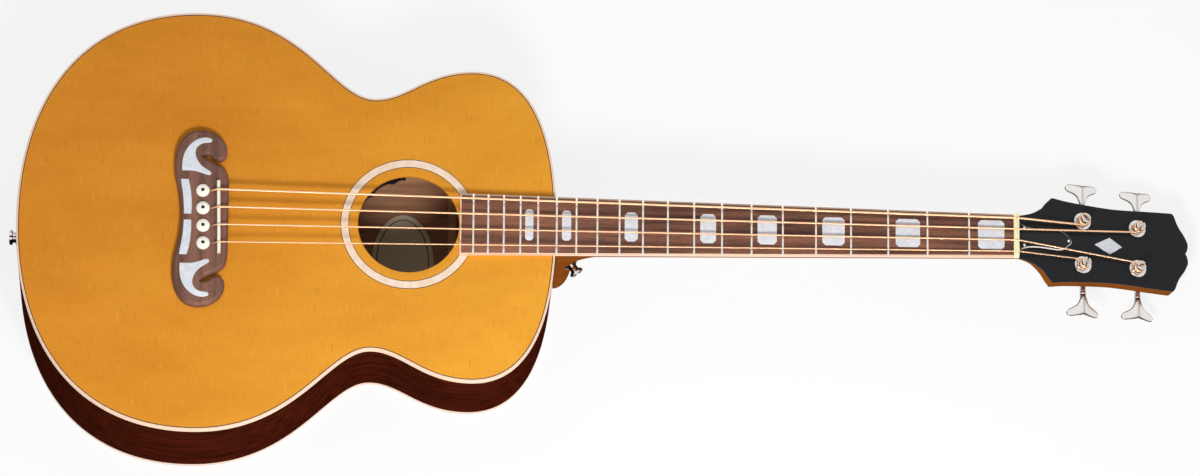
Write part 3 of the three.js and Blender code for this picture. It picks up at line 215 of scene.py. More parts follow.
def shell(rings, looped):
    """A closed skin through rings of equally many points. Four neighbours make a face, and the first and
    last rings are closed flat, or joined to each other where the skin is looped."""
    count, size = rings.shape[:2]
    i, j = np.meshgrid(np.arange(count if looped else count - 1), np.arange(size), indexing="ij")
    k, l = (i + 1) % count, (j + 1) % size
    quads = np.stack([i * size + j, i * size + l, k * size + l, k * size + j], -1).reshape(-1, 4)
    ends = [] if looped else [np.arange(size)[::-1], np.arange(size) + (count - 1) * size]
    return rings.reshape(-1, 3), quads, ends


def piece(name, skins, material, node, body="body", looped=False, places=None, sharp=35):
    """One object that stands for a solid, from closed skins given as rings in the soundboard's frame. A
    skin is turned round where its volume, the sum of a . (b x c) / 6 over its triangles, is negative.
    places are pattern coordinates, kept on the points."""
    points, faces, first = [], [], 0
    for rings in skins:
        corners, quads, ends = shell(on_bench(rings), looped)
        fans = [np.column_stack([np.full(len(e) - 2, e[0]), e[1:-1], e[2:]]) for e in ends]
        a, b, c = corners[np.vstack([quads[:, [0, 1, 2]], quads[:, [0, 2, 3]], *fans])].transpose(1, 0, 2)
        volume = np.einsum("ij,ij->", a - corners[0], np.cross(b - corners[0], c - corners[0]))
        way = 1 if volume > 0 else -1
        points.append(corners)
        faces += (quads[:, ::way] + first).tolist() + [(e[::way] + first).tolist() for e in ends]
        first += len(corners)
    mesh = bpy.data.meshes.new(name)
    mesh.from_pydata(np.vstack(points).tolist(), [], faces)
    if places is not None:
        kept = mesh.attributes.new("place", "FLOAT_VECTOR", "POINT")
        kept.data.foreach_set("vector", np.asarray(places, np.float32).ravel())
    cleaned = bmesh.new()
    cleaned.from_mesh(mesh)
    bmesh.ops.remove_doubles(cleaned, verts=cleaned.verts, dist=2e-6)
    cleaned.to_mesh(mesh)
    cleaned.free()
    mesh.shade_smooth()
    mesh.set_sharp_from_angle(angle=math.radians(sharp))
    made = bpy.data.objects.new(name, mesh)
    bpy.context.scene.collection.objects.link(made)
    mesh.materials.append(material)
    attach(made, body)
    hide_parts(node)


def new_finish(name, settings):
    """A material with what is the same all over set on its shader."""
    material = bpy.data.materials.new(name)
    material.use_nodes = True
    shader = material.node_tree.nodes["Principled BSDF"]
    for key, value in settings.items():
        shader.inputs[key].default_value = value
    return material, material.node_tree, shader


def plain_finish(name, code, roughness, more={}):
    """A material of one colour."""
    return new_finish(name, {"Base Color": linear(code), "Roughness": roughness, **more})[0]


def wood_figure(tree, where, size, detail=2.0, rough=0.5, low=0.0, high=1.0, most=1.0, start=(0, 0, 0)):
    """Soft streaks, as long, wide and deep as the size in millimetres: a share that is nought where their
    noise is under low, and rises evenly to most where it reaches high."""
    rates = [1000 / side for side in size]
    place = add(tree, "Mapping", {"Location": start, "Scale": rates, "Vector": where})
    noise = add(tree, "TexNoise", {"Scale": 1.0, "Detail": detail, "Roughness": rough, "Vector": place[0]})
    return add(tree, "MapRange", {0: noise[0], "From Min": low, "From Max": high, "To Max": most})[0]


# Spruce under amber gloss lacquer: straight fine grain lines along the strings, 1.6 mm apart by the middle
# seam and wider towards the edges, broad soft bands of colour, and dark flecks and silky light ones that lie
# across the grain. The lines' phase grows as distance ^ power. Painted light: the tone turns brighter and
# yellower towards the neck and the treble side, where the lamp stands.
spruce, tree, shader = new_finish("spruce_amber_lacquer", {
    "Roughness": 0.3, "Specular IOR Level": 0.4, "Specular Tint": linear("#D08A3A")})
where = add(tree, "TexCoord")["Object"]
axes = add(tree, "SeparateXYZ", {0: where})
aside = add(tree, "Math", {"operation": "ABSOLUTE", 0: axes["Y"]})
wander = add(tree, "TexNoise", {"Scale": 1000 / WANDER_MM, "Detail": 2.0, "Vector": where})
shifted = add(tree, "Math", {"operation": "MULTIPLY_ADD", 0: wander[0], 1: WANDER_BY / 1000, 2: aside[0]})
widened = add(tree, "Math", {"operation": "POWER", 0: shifted[0], 1: GRAIN_POWER})
lines_a_metre = (GRAIN_FROM_SEAM / 1000) ** (1 - GRAIN_POWER) / GRAIN_POWER * 1000 / GRAIN_MM
phase = add(tree, "Math", {"operation": "MULTIPLY", 0: widened[0], 1: 2 * math.pi * lines_a_metre})
wave = add(tree, "Math", {"operation": "SINE", 0: phase[0]})
late_wood = add(tree, "MapRange", {0: wave[0], "From Min": 0.2, "From Max": 1.0})
line = add(tree, "Math", {"operation": "MULTIPLY", 0: late_wood[0], 1: GRAIN_STRENGTH})
bands = wood_figure(tree, where, BAND_MM, 5.0, 0.65, 0.3, 0.7)
flecks = wood_figure(tree, where, FLECK_MM, low=0.6, high=0.8, most=0.55)
silk = wood_figure(tree, where, SILK_MM, low=0.62, high=0.8, most=0.5, start=SILK_START)
colour = linear(SPRUCE_LIGHT)
for share, tone in ((bands, SPRUCE_DEEP), (line[0], SPRUCE_LINE), (flecks, SPRUCE_FLECK),
                    (silk, SPRUCE_SILK)):
    colour = add(tree, "Mix", {"data_type": "RGBA", 0: share, 6: colour, 7: linear(tone)})[2]
# Painted light: a share that grows towards the neck and the treble side, where the lamp stands.
lean = add(tree, "Math", {"operation": "MULTIPLY_ADD", 0: axes["Y"], 1: -0.6, 2: axes["X"]})
lamp_side_share = add(tree, "MapRange", {0: lean[0], "From Min": -0.5, "From Max": 0.0})
painted_light_tone = add(tree, "Mix", {
    "data_type": "RGBA", "blend_type": "MULTIPLY", 0: lamp_side_share[0], 6: colour, 7: PAINTED_LIGHT_TINT})
tree.links.new(painted_light_tone[2], shader.inputs["Base Color"])
relief = add(tree, "Bump", {"Strength": 0.08, "Distance": 0.0004, "Height": late_wood[0]})
tree.links.new(relief[0], shader.inputs["Normal"])

board_edge = inset(outline, BINDING_WIDTH + PURFLING_WIDTH)
hole_centre = np.array([HOLE_AT, 0.0])
spokes = board_edge - hole_centre
spokes /= np.linalg.norm(spokes, axis=1, keepdims=True)
ring_steps = [(HOLE_RADIUS, -TOP_THICKNESS), (HOLE_RADIUS, -0.8), (HOLE_RADIUS + 0.2, -0.25),
              (HOLE_RADIUS + 0.8, 0), (CHANNEL_INNER, 0), (CHANNEL_INNER, -CHANNEL_DEPTH),
              (CHANNEL_OUTER, -CHANNEL_DEPTH), (CHANNEL_OUTER, 0)]
levels = [raised(hole_centre + spokes * radius, height) for radius, height in ring_steps]
levels += [raised(board_edge, 0), raised(board_edge, -TOP_THICKNESS)]
piece("spruce_top", [np.stack(levels, 1)], spruce, "soundboard", looped=True)


# Purfling: a thin line of dark fibre between the soundboard and its binding. It is glued into a ledge 1.5
# mm deep and levelled with the top.
PURFLING_DEPTH = 1.5

# Dark fibre, levelled and lacquered over: a near-black line with a faint shine.
dark_fibre = plain_finish("dark_fibre", "#2A1A12", 0.45)
binding_edge = inset(outline, BINDING_WIDTH)
line_loops = [raised(binding_edge, 0), raised(board_edge, 0), raised(board_edge, -PURFLING_DEPTH),
              raised(binding_edge, -PURFLING_DEPTH)]
piece("purfling", [np.stack(line_loops, 1)], dark_fibre, "soundboard", looped=True)


# The rosette: one broad ring of cream pearloid in the soundboard's channel, edged by two fine black rings.
# All are turned about the middle of the hole.
ROSETTE_INNER, ROSETTE_OUTER, ROSETTE_DEPTH, ROSETTE_LINE = 58.5, 66.8, 1.4, 0.6
CLOUD_MM = 7.143


def around(steps):
    """Even angles round a circle."""
    return np.linspace(0, 2 * math.pi, steps, endpoint=False)


def ring(radius, angles, height):
    """Points round z at (r cos a, r sin a, h), where any of the radius, the angle and the height may vary."""
    return np.column_stack(np.broadcast_arrays(radius * np.cos(angles), radius * np.sin(angles), height))


def turned(profile, sides=64, centre=(0, 0, 0)):
    """Rings about z from a list of radius and height."""
    return np.array([ring(radius, around(sides), height) for radius, height in profile]) + centre


def hoop(inner, outer, sides=192):
    """A flat ring round the soundhole, between two radii."""
    rim = [(inner, -ROSETTE_DEPTH), (outer, -ROSETTE_DEPTH), (outer, 0), (inner, 0)]
    return turned(rim, sides, (HOLE_AT, 0, 0))


# Cream pearloid: cast plastic whose soft pearly clouds, 7 mm across, give it depth under a clear gloss.
pearloid, tree, shader = new_finish("cream_pearloid", {"Roughness": 0.3, "Coat Weight": 0.4})
clouds = add(tree, "TexVoronoi", {"Scale": 1000 / CLOUD_MM, "Vector": add(tree, "TexCoord")["Object"]})
share = add(tree, "MapRange", {0: clouds["Distance"], "From Max": 0.9})
tint = add(tree, "Mix", {"data_type": "RGBA", 0: share[0], 6: linear("#FBE7D3"), 7: linear("#EFCFB2")})
tree.links.new(tint[2], shader.inputs["Base Color"])

ring_inner, ring_outer = ROSETTE_INNER + ROSETTE_LINE, ROSETTE_OUTER - ROSETTE_LINE
piece("rosette_ring", [hoop(ring_inner, ring_outer)], pearloid, "rosette", looped=True)
fine_rings = [hoop(ROSETTE_INNER, ring_inner), hoop(ring_outer, ROSETTE_OUTER)]
piece("rosette_lines", fine_rings, dark_fibre, "rosette", looped=True)


# The back: a 4 mm plate, flat along its middle and arched up by 4 mm towards its sides. Outside it has the
# same dark red-brown lacquer as the sides; inside, seen through the soundhole, it is bare brown wood.
BACK_THICKNESS = 4.0
BACK_ARCH, BACK_FLAT_HALF = 4.0, 40.0
BACK_RINGS, BACK_CORE, BACK_FIGURE_MM = 30, 0.04, (111.1, 7.69, 7.69)


def back_height(loop):
    """Height of the back's outside: the arch rises as the square of the way out past its flat strip."""
    past = np.maximum(0, np.abs(loop[:, 1]) - BACK_FLAT_HALF) / (LOWER_HALF - BACK_FLAT_HALF)
    return BACK_ARCH * past ** 2 - TAIL_DEPTH + (TAIL_DEPTH - HEEL_DEPTH) * loop[:, 0] / BODY_LENGTH


def third_shares(levels, size=1):
    """Places whose third share is a level: one for each ring of so many points."""
    return np.outer(np.repeat(levels, size), (0, 0, 1))


# Dark red-brown gloss lacquer on figured wood, with soft darker streaks. Where the third share of "place"
# is one, the wood is bare: brown and dull.
dark_lacquer, tree, shader = new_finish("dark_red_brown_lacquer", {
    "Roughness": 0.3, "Specular IOR Level": 0.0})
streaks = wood_figure(tree, add(tree, "TexCoord")["Object"], BACK_FIGURE_MM, 5.0, 0.6, 0.35, 0.68)
place = add(tree, "Attribute", {"attribute_name": "place"})["Vector"]
bare_share = add(tree, "SeparateXYZ", {0: place})["Z"]
lacquered, bare = (
    add(tree, "Mix", {"data_type": "RGBA", 0: streaks, 6: linear(light), 7: linear(dark)})[2]
    for light, dark in (("#4A1A0C", "#2A0D06"), ("#C79470", "#9E6E54")))
colour = add(tree, "Mix", {"data_type": "RGBA", 0: bare_share, 6: lacquered, 7: bare})
tree.links.new(colour[2], shader.inputs["Base Color"])
dull = add(tree, "MapRange", {0: bare_share, "To Min": 0.32, "To Max": 0.75})
tree.links.new(dull[0], shader.inputs["Roughness"])

spans = np.linspace(BACK_CORE, 1, BACK_RINGS)
outer_side = [(span, 0, 0) for span in spans] + [(1, BACK_THICKNESS / 2, 0)]
inner_side = [(span, BACK_THICKNESS, 1) for span in spans[::-1]]
rings, flags = [], []
for span, lift, bareness in outer_side + inner_side:
    loop = hole_centre + (binding_edge - hole_centre) * span
    rings.append(raised(loop, back_height(loop) + lift))
    flags.append(third_shares([bareness], len(loop)))
piece("back", [rings], dark_lacquer, "back_plate", places=np.concatenate(flags))


# The sides: two ribs bent from 3.2 mm boards, one for each half, with a step at both edges for the
# bindings. Their grain runs round the body.
RIB_THICKNESS, SEAM = 3.2, 0.3

rounds = [inset(outline, distance)[:len(bass_half)] for distance in (0, BINDING_WIDTH, RIB_THICKNESS)]
run = np.concatenate([[0], np.cumsum(np.linalg.norm(np.diff(rounds[0], axis=0), axis=1))]) / 1000
corners = [(0, -BINDING_HEIGHT, None), (1, -BINDING_HEIGHT, None), (1, -TOP_THICKNESS - SEAM, None),
           (2, -TOP_THICKNESS - SEAM, None), (2, None, BACK_THICKNESS + SEAM),
           (1, None, BACK_THICKNESS + SEAM), (1, None, BINDING_HEIGHT), (0, None, BINDING_HEIGHT)]
section = [raised(rounds[at], high if lift is None else back_height(rounds[at]) + lift)
           for at, high, lift in corners]
inward = np.array([0, 0, 0, 1, 1, 0, 0, 0])
for name, side in (("bass", 1), ("treble", -1)):
    rings = np.stack(section, 1) * (1, side, 1)
    places = np.dstack(np.broadcast_arrays(run[:, None], rings[..., 2] / 1000, inward)).reshape(-1, 3)
    piece("rib_" + name, [rings], dark_lacquer, "side_" + name, places=places)


# The bindings: strips of cream plastic, bent round both edges of the box and glued into its ledges, with
# their outer edge scraped round.
EDGE_ROUND = 0.9

# Cream plastic, scraped and buffed: a warm cream under a clear gloss.
cream = plain_finish("cream_binding", "#F4CDAE", 0.35, {"Coat Weight": 0.4})
strip = [(0, BINDING_HEIGHT), (0, EDGE_ROUND), (0.3 * EDGE_ROUND, 0.3 * EDGE_ROUND), (EDGE_ROUND, 0),
         (BINDING_WIDTH, 0), (BINDING_WIDTH, BINDING_HEIGHT)]
for name, node, face, way in (("binding_front", "binding_top", lambda loop: 0 * loop[:, 0], -1),
                              ("binding_rear", "binding_back", back_height, 1)):
    loops = [inset(outline, distance) for distance, drop in strip]
    rings = [raised(loop, face(loop) + way * drop) for loop, (distance, drop) in zip(loops, strip)]
    piece(name, [np.stack(rings, 1)], cream, node, looped=True)


# Linings, blocks and braces inside the box keep their solids. They are bare spruce and mahogany, glued in,
# with a fine straight grain.
LINING_FIGURE_MM = (83.3, 6.25, 6.25)


def straight_wood(name, settings, size, light, dark):
    """Wood in two tones of faint straight streaks, as long, wide and deep as the size in millimetres."""
    material, tree, shader = new_finish(name, settings)
    streaks = wood_figure(tree, add(tree, "TexCoord")["Object"], size, 4.0)
    tint = add(tree, "Mix", {"data_type": "RGBA", 0: streaks, 6: linear(light), 7: linear(dark)})
    tree.links.new(tint[2], shader.inputs["Base Color"])
    return material


# Bare planed wood: pale brown and quite dull.
bare_wood = straight_wood("bare_wood", {"Roughness": 0.7}, LINING_FIGURE_MM, "#D3A674", "#A97B4C")
for node in ("lining_top_bass", "lining_top_treble", "lining_back_bass", "lining_back_treble", "neck_block",
             "tail_block", "x_brace", "transverse_brace", "bridge_plate", "back_brace_1", "back_brace_2",
             "back_brace_3"):
    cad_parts[node].data.materials[0] = bare_wood


# The neck: amber-lacquered maple, shaped from one piece with its heel and the core of its headstock. Its
# sections stand across x; below the fingerboard each is as wide as the shaft or the heel, whichever is
# wider there.
NECK_START = BODY_LENGTH + 0.3
NUT_AT, HEAD_AT = 977.78, 983.78
BOARD_END, BOARD_HALF_BODY, BOARD_HALF_NUT = 433.79, 31.4, 21.75
NECK_DEPTH_NUT, NECK_DEPTH_HEEL = 15.0, 18.5
HEEL_HALF, HEEL_DROP = 29.3, 105.0
HEEL_REACHES = [(1, 18.5), (0.8, 19.7), (0.6, 22.7), (0.42, 28.6), (0.3, 37.5), (0.2, 54.2), (0.12, 78.0)]
HEEL_FRONT, HEEL_TOP_SHARE = HEEL_REACHES[0][1], HEEL_REACHES[-1][0]
HEEL_BLEND, BLEND_DEPTH, SHAFT_FROM = 6.0, 12.0, 84.0
HEAD_ANGLE, HEAD_RISE = 0.2443, 2.0
HEAD_LENGTH, HEAD_HALF, HEAD_THICKNESS, VENEER = 177.6, 43.7, 15.0, 1.0
HEAD_FLARE = [(0, 0.498), (0.07, 0.577), (0.115, 0.675), (0.149, 0.783), (0.175, 0.918), (0.194, 0.998)]
HEAD_SIDE = [(0.203, 1.003), (0.214, 0.997), (0.287, 0.952), (0.417, 0.908), (0.546, 0.881), (0.66, 0.89),
             (0.771, 0.911), (0.895, 0.927), (0.912, 0.915)]
FLARE_START, FLARE_END, FLARE_OVERLAP = 0.06, 0.197, 0.005
SHAFT_ROUND, CORE_ROUND, CORE_GAP = 0.9, 0.06, 0.3
NECK_FIGURE_MM = (125, 9.09, 9.09)
HEAD_END = [(0.921, 0.865), (0.928, 0.789), (0.937, 0.69), (0.952, 0.577), (0.977, 0.43), (0.996, 0.275),
            (1, 0.172), (0.993, 0.057), (0.985, 0)]


def smooth(points, steps=6):
    """Points along a curve through the given ones. Each span from b to c is the cubic b + (c - a) t / 2 +
    (2a - 5b + 4c - d) t^2 / 2 + (3b - a - 3c + d) t^3 / 2, with a and d its neighbours."""
    known = np.array(points, float)
    known = np.vstack([2 * known[0] - known[1], known, 2 * known[-1] - known[-2]])
    a, b, c, d = known[:-3], known[1:-2], known[2:-1], known[3:]
    t = np.linspace(0, 1, steps, endpoint=False)[:, None, None]
    bent, turned_back = 2 * a - 5 * b + 4 * c - d, 3 * b - a - 3 * c + d
    spans = b + (c - a) * t / 2 + bent * t ** 2 / 2 + turned_back * t ** 3 / 2
    return np.vstack([spans.transpose(1, 0, 2).reshape(-1, known.shape[1]), known[-2]])


def on_head(points):
    """Headstock millimetres to the soundboard's frame. Its face tips back behind the nut by its angle."""
    return np.array([HEAD_AT, 0, HEAD_RISE]) + np.asarray(points, float) @ tilted(HEAD_ANGLE)


def board_half(x):
    """Half the fingerboard's width, which grows evenly from the nut to the board's end over the body."""
    return BOARD_HALF_BODY + (BOARD_HALF_NUT - BOARD_HALF_BODY) * (x - BOARD_END) / (NUT_AT - BOARD_END)


def slice_across(depth, half_width_at, levels=36):
    """One neck section as (y, z): down one side and up the other, closer together towards the bottom."""
    z = -depth * np.sin(np.linspace(0, math.pi / 2, levels))
    half = half_width_at(z)
    return np.column_stack([np.concatenate([half, -half[::-1]]), np.concatenate([z, z[::-1]])])


def shaft_half(z, half, depth, roundness):
    """The shaft's half width at a height: half times the root of 1 - (|z| / depth) ^ (2 / roundness)."""
    return half * np.sqrt(np.clip(1 - (np.abs(z) / depth) ** (2 / roundness), 0, 1))


# Amber-lacquered maple: warm brown with a faint straight figure, and a soft shine.
amber_maple = straight_wood("amber_maple_lacquer", {"Roughness": 0.3, "Specular IOR Level": 0.0},
                            NECK_FIGURE_MM, "#94531B", "#763D12")

heel_share, heel_reach = smooth(HEEL_REACHES, 12)[::-1].T
heel_fronts = HEEL_FRONT * np.sin(np.linspace(0, math.pi / 2, 14)[:-1])
heel_curve = np.interp(np.linspace(1, HEEL_TOP_SHARE, 44), heel_share, heel_reach)
stations = np.concatenate([NECK_START + heel_fronts, NECK_START + heel_curve,
                           np.linspace(NECK_START + SHAFT_FROM, NUT_AT, 30)])
sections = []
for x in stations:
    out = x - NECK_START
    depth = NECK_DEPTH_HEEL + (NECK_DEPTH_NUT - NECK_DEPTH_HEEL) * out / (NUT_AT - NECK_START)
    share = 1 if out <= HEEL_FRONT else np.interp(out, heel_reach[::-1], heel_share[::-1], right=0)
    bottom = HEEL_DROP * share

    def widest(z):
        """Half width at a height: the wider of the shaft and the heel's ellipse, and near their meeting a
        fillet that adds near ^ 2 / (4 fillet)."""
        reach = np.interp(-z / HEEL_DROP, heel_share, heel_reach)
        heel = HEEL_HALF * np.sqrt(np.clip(1 - (out / reach) ** 2, 0, 1)) * (-z <= bottom + 1e-6)
        shaft = shaft_half(z, board_half(x), depth, SHAFT_ROUND)
        fillet = HEEL_BLEND * np.clip(-z / BLEND_DEPTH, 0, 1) + 1e-6
        near = np.clip(fillet - np.abs(heel - shaft), 0, None) * (heel > 0)
        return np.maximum(heel, shaft) + near ** 2 / fillet / 4

    yz = slice_across(max(depth, bottom), widest)
    sections.append(np.column_stack([np.full(len(yz), x), yz]))
yz = slice_across(NECK_DEPTH_NUT, lambda z: shaft_half(z, BOARD_HALF_NUT, NECK_DEPTH_NUT, SHAFT_ROUND))
sections.append(np.column_stack([np.full(len(yz), HEAD_AT), yz]))

flare = smooth(HEAD_FLARE) * (HEAD_LENGTH, HEAD_HALF)
core_top, core_depth = -VENEER - CORE_GAP, HEAD_THICKNESS - VENEER - CORE_GAP
for share in np.linspace(0, 1, 30):
    u = (FLARE_START + share * (FLARE_END - FLARE_START)) * HEAD_LENGTH
    depth = NECK_DEPTH_NUT + share * (core_depth - NECK_DEPTH_NUT)
    half = np.interp(u, flare[:, 0], flare[:, 1])
    roundness = SHAFT_ROUND + (CORE_ROUND - SHAFT_ROUND) * math.sin(share * math.pi / 2)
    yz = slice_across(depth, lambda z: shaft_half(z, half, depth, roundness))
    sections.append(on_head(np.column_stack([np.full(len(yz), u), yz[:, 0], yz[:, 1] + core_top])))

half_head = np.vstack([flare, smooth(HEAD_SIDE, 5) * (HEAD_LENGTH, HEAD_HALF),
                       smooth(HEAD_END, 5) * (HEAD_LENGTH, HEAD_HALF)])
half_core = half_head[half_head[:, 0] > (FLARE_END - FLARE_OVERLAP) * HEAD_LENGTH]


def slab(loop, steps):
    """Rings of a plate from its outline: one for each (inset, height), from its back to its face."""
    return [raised(inset(loop, distance), height) for distance, height in steps]


core_steps = [(0.7, -HEAD_THICKNESS), (0.45, -HEAD_THICKNESS), (0.15, -HEAD_THICKNESS + 0.25),
              (0, -HEAD_THICKNESS + 0.7), (0, core_top)]
core = on_head(slab(closed(half_core), core_steps))
piece("neck_and_heel", [sections, core], amber_maple, "neck", sharp=50)


# The truss rod: a steel rod that turns in its bore along the neck. It keeps its solid, since nothing of it
# shows from outside.

# Blackened steel: a dark grey metal with a soft shine.
black_steel = plain_finish("blackened_steel", "#55565A", 0.4, {"Metallic": 1.0})
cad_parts["truss_rod"].data.materials[0] = black_steel


# The fingerboard: streaked brown wood with a crown of 305 mm radius, framed by narrow cream bindings along
# both edges and across its end over the soundhole.
BOARD_BOTTOM, BOARD_TOP, CROWN_RADIUS = 0.3, 6.3, 305.0
BOARD_TRIM = 1.5
STREAK_MM, PORE_MM = (333.3, 11.11, 11.11), (6.25, 0.6667, 1.111)


def crowned(y):
    """Height of the board's top: its middle less the crown's drop, R - root of (R^2 - y^2)."""
    return BOARD_TOP - CROWN_RADIUS + np.sqrt(CROWN_RADIUS ** 2 - np.asarray(y) ** 2)


def board_skin(edges, x0, x1, steps=13):
    """A strip of the board from x0 to x1, flat below and crowned on top. Each of its two edges is given by
    a side of the board, 1 or -1, and how far in from there it lies."""
    rings = []
    for x in np.linspace(x0, x1, 12):
        y = np.linspace(*(side * (board_half(x) - distance) for side, distance in edges), steps)
        top = np.column_stack([np.full(steps, x), y, crowned(y)])
        rings.append(np.vstack([top, [[x, y[-1], BOARD_BOTTOM], [x, y[0], BOARD_BOTTOM]]]))
    return rings


def tonewood(name, turn, light, dark):
    """Brown tonewood, oiled to a dull sheen: long streaks along its grain, which lies turned from x by an
    angle, and fine dark pores, sunk a little."""
    material, tree, shader = new_finish(name, {"Roughness": 0.55, "Specular IOR Level": 0.3})
    where = add(tree, "TexCoord")["Object"]
    grain = add(tree, "VectorRotate", {"rotation_type": "Z_AXIS", "Angle": turn, "Vector": where})[0]
    streaks = wood_figure(tree, grain, STREAK_MM, 5.0, 0.6, 0.38, 0.66)
    pores = wood_figure(tree, grain, PORE_MM, low=0.56, high=0.72, most=0.6)
    colour = linear(light)
    for share, tone in ((streaks, dark), (pores, "#3A231A")):
        colour = add(tree, "Mix", {"data_type": "RGBA", 0: share, 6: colour, 7: linear(tone)})[2]
    tree.links.new(colour, shader.inputs["Base Color"])
    relief = add(tree, "Bump", {"invert": True, "Strength": 0.25, "Distance": 0.0002, "Height": pores})
    tree.links.new(relief[0], shader.inputs["Normal"])
    return material


board_wood = tonewood("board_tonewood", 0.0, "#93614A", "#42281F")
bass_trim, treble_trim = ((1, BOARD_TRIM), (1, 0)), ((-1, 0), (-1, BOARD_TRIM))
between = ((-1, BOARD_TRIM), (1, BOARD_TRIM))
piece("board", [board_skin(between, BOARD_END + BOARD_TRIM, NUT_AT)], board_wood, "fingerboard")
trims = [board_skin(edges, BOARD_END, NUT_AT, 3) for edges in (bass_trim, treble_trim)]
trims.append(board_skin(between, BOARD_END, BOARD_END + BOARD_TRIM))
piece("board_binding", trims, cream, "fingerboard")


# Frets: twenty crowned nickel wires across the board, their ends filed to the edges. Each is a half round
# section carried over the board's crown.
SCALE = 774.7
FRET_HALF, FRET_HEIGHT, FRETS = 1.15, 1.1, 20
FRET_SINK, FRET_END, FRET_SLOPE = 0.6, 0.95, 0.75


def fret_place(n):
    """How far the n-th fret lies in front of the nut: scale (1 - 2 ^ (-n / 12))."""
    return SCALE * (1 - 2 ** (-n / 12))


def toned_metal(name, roughness, light, dark):
    """A metal that turns from a light tone to a dark one by the third share of "place"."""
    material, tree, shader = new_finish(name, {"Metallic": 1.0, "Roughness": roughness})
    place = add(tree, "Attribute", {"attribute_name": "place"})["Vector"]
    share = add(tree, "SeparateXYZ", {0: place})["Z"]
    tint = add(tree, "Mix", {"data_type": "RGBA", 0: share, 6: linear(light), 7: linear(dark)})
    tree.links.new(tint[2], shader.inputs["Base Color"])
    return material


# Satin nickel: a pale, slightly warm metal with a soft shine. Where "place" says so, its edges are painted
# dark: painted reflection of a dark room, and painted shade.
nickel = toned_metal("satin_nickel", 0.24, "#E8E3DE", "#443C37")
half_round = np.linspace(0, math.pi, 9)
shares = np.linspace(-1, 1, 15)[:, None]
rise = FRET_HEIGHT * (1 - FRET_SLOPE * np.maximum(0, np.abs(shares) - FRET_END) / (1 - FRET_END))
above = np.hstack([rise * np.sin(half_round), np.full((len(shares), 2), -FRET_SINK)])
skins = []
for n in range(1, FRETS + 1):
    x = NUT_AT - fret_place(n)
    y = shares * board_half(x)
    along = x + FRET_HALF * np.append(np.cos(half_round), [-1, 1])
    skins.append(np.dstack(np.broadcast_arrays(along, y, crowned(y) + above)))
piece("frets", skins, nickel, "fingerboard")


# Position marks: plain blocks of pearl with clipped corners, let into the board, narrower towards the body
# as the frets close up. They follow the crown and stand a hair above it.
MARKS = {1: (26, 30), 3: (24, 29), 5: (22, 29), 7: (19, 30),
         9: (15.5, 30), 12: (13, 30), 15: (9, 31), 17: (8, 32)}
MARK_CORNER, MARK_PROUD, MARK_DEPTH = 3.0, 0.05, 0.8
PEARL_MM = 3.846

# White pearl: polished shell in patches of two cool tones, 4 mm across, under a clear gloss.
pearl, tree, shader = new_finish("white_pearl", {"Roughness": 0.22, "Coat Weight": 0.5})
patches = add(tree, "TexVoronoi", {"Scale": 1000 / PEARL_MM, "Vector": add(tree, "TexCoord")["Object"]})
share = add(tree, "SeparateColor", {0: patches["Color"]})
tint = add(tree, "Mix", {"data_type": "RGBA", 0: share[0], 6: linear("#E4E7EE"), 7: linear("#D5DAE2")})
tree.links.new(tint[2], shader.inputs["Base Color"])
skins = []
for n, (length, width) in MARKS.items():
    x = NUT_AT - (fret_place(n - 1) + fret_place(n)) / 2
    clip = min(MARK_CORNER, length / 4)
    y = np.concatenate([np.linspace(0, clip, 3), np.linspace(clip, width - clip, 9)[1:-1],
                        np.linspace(width - clip, width, 3)]) - width / 2
    half = length / 2 - np.maximum(0, np.abs(y) - (width / 2 - clip))
    top = crowned(y) + MARK_PROUD
    low = top - MARK_DEPTH
    skins.append(np.stack([np.column_stack([x + side * half, y, height])
                           for side, height in ((-1, low), (-1, top), (1, top), (1, low))], 1))
piece("position_marks", skins, pearl, "fingerboard")


# The nut and the saddle keep their solids. Both are cut from bone and set in a slot, with a groove for each
# string in the nut, which is a little yellower.
def bone_finish(name, code):
    """Polished bone: a pale cream that light enters a little, so that its edges look soft."""
    return plain_finish(name, code, 0.3, {
        "Subsurface Weight": 0.05, "Subsurface Radius": (0.002, 0.0015, 0.001)})


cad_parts["nut"].data.materials[0] = bone_finish("yellow_bone", "#FFF6C7")
white_bone = bone_finish("white_bone", "#FFFAEC")
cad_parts["saddle"].data.materials[0] = white_bone


# The headstock's face: a 1 mm wooden veneer, glued on the core and lacquered black, with a plain lozenge of
# pearl let into it.
LOZENGE = [(79.0, 0.0), (95.0, 8.6), (108.0, 0.0), (95.0, -8.6)]

# Black gloss lacquer: near black, with a weak clear mirror of the room.
black_gloss = plain_finish("black_gloss_lacquer", "#17181B", 0.3, {"Specular IOR Level": 0.2})
veneer = on_head(slab(closed(half_head), [(0, -VENEER), (0, -CORE_GAP), (0.3, 0)]))
piece("head_face", [veneer], black_gloss, "headstock_face")
lozenge = on_head(slab(np.array(LOZENGE), [(0, -0.5), (0, 0.04), (0.04, 0.06)]))
piece("head_lozenge", [lozenge], pearl, "headstock_face")


# The truss rod's cover: a bell of black and white plastic in three layers, whose sloped edge shows the
# white one as a thin line. Three small screws hold it.
COVER = [(0.3, 14.0), (2.5, 13.2), (5, 12.2), (8, 11.1), (12, 10.3), (17, 9.9), (24, 9.8), (33, 10.2),
         (39, 10.5), (43.5, 10.1), (47, 8.8), (49.8, 6.7), (52.4, 4.4), (54.2, 2.3), (55.2, 0)]
COVER_LAYERS = [("cover_base", 0.3, 0.8, 0.0, 0.1), ("cover_line", 0.8, 1.9, 0.1, 1.1),
                ("cover_face", 1.9, 2.3, 1.1, 1.4)]
COVER_TOP, COVER_SCREWS = COVER_LAYERS[-1][2], [(4.9, 8.8), (4.9, -8.8), (51.2, 0)]

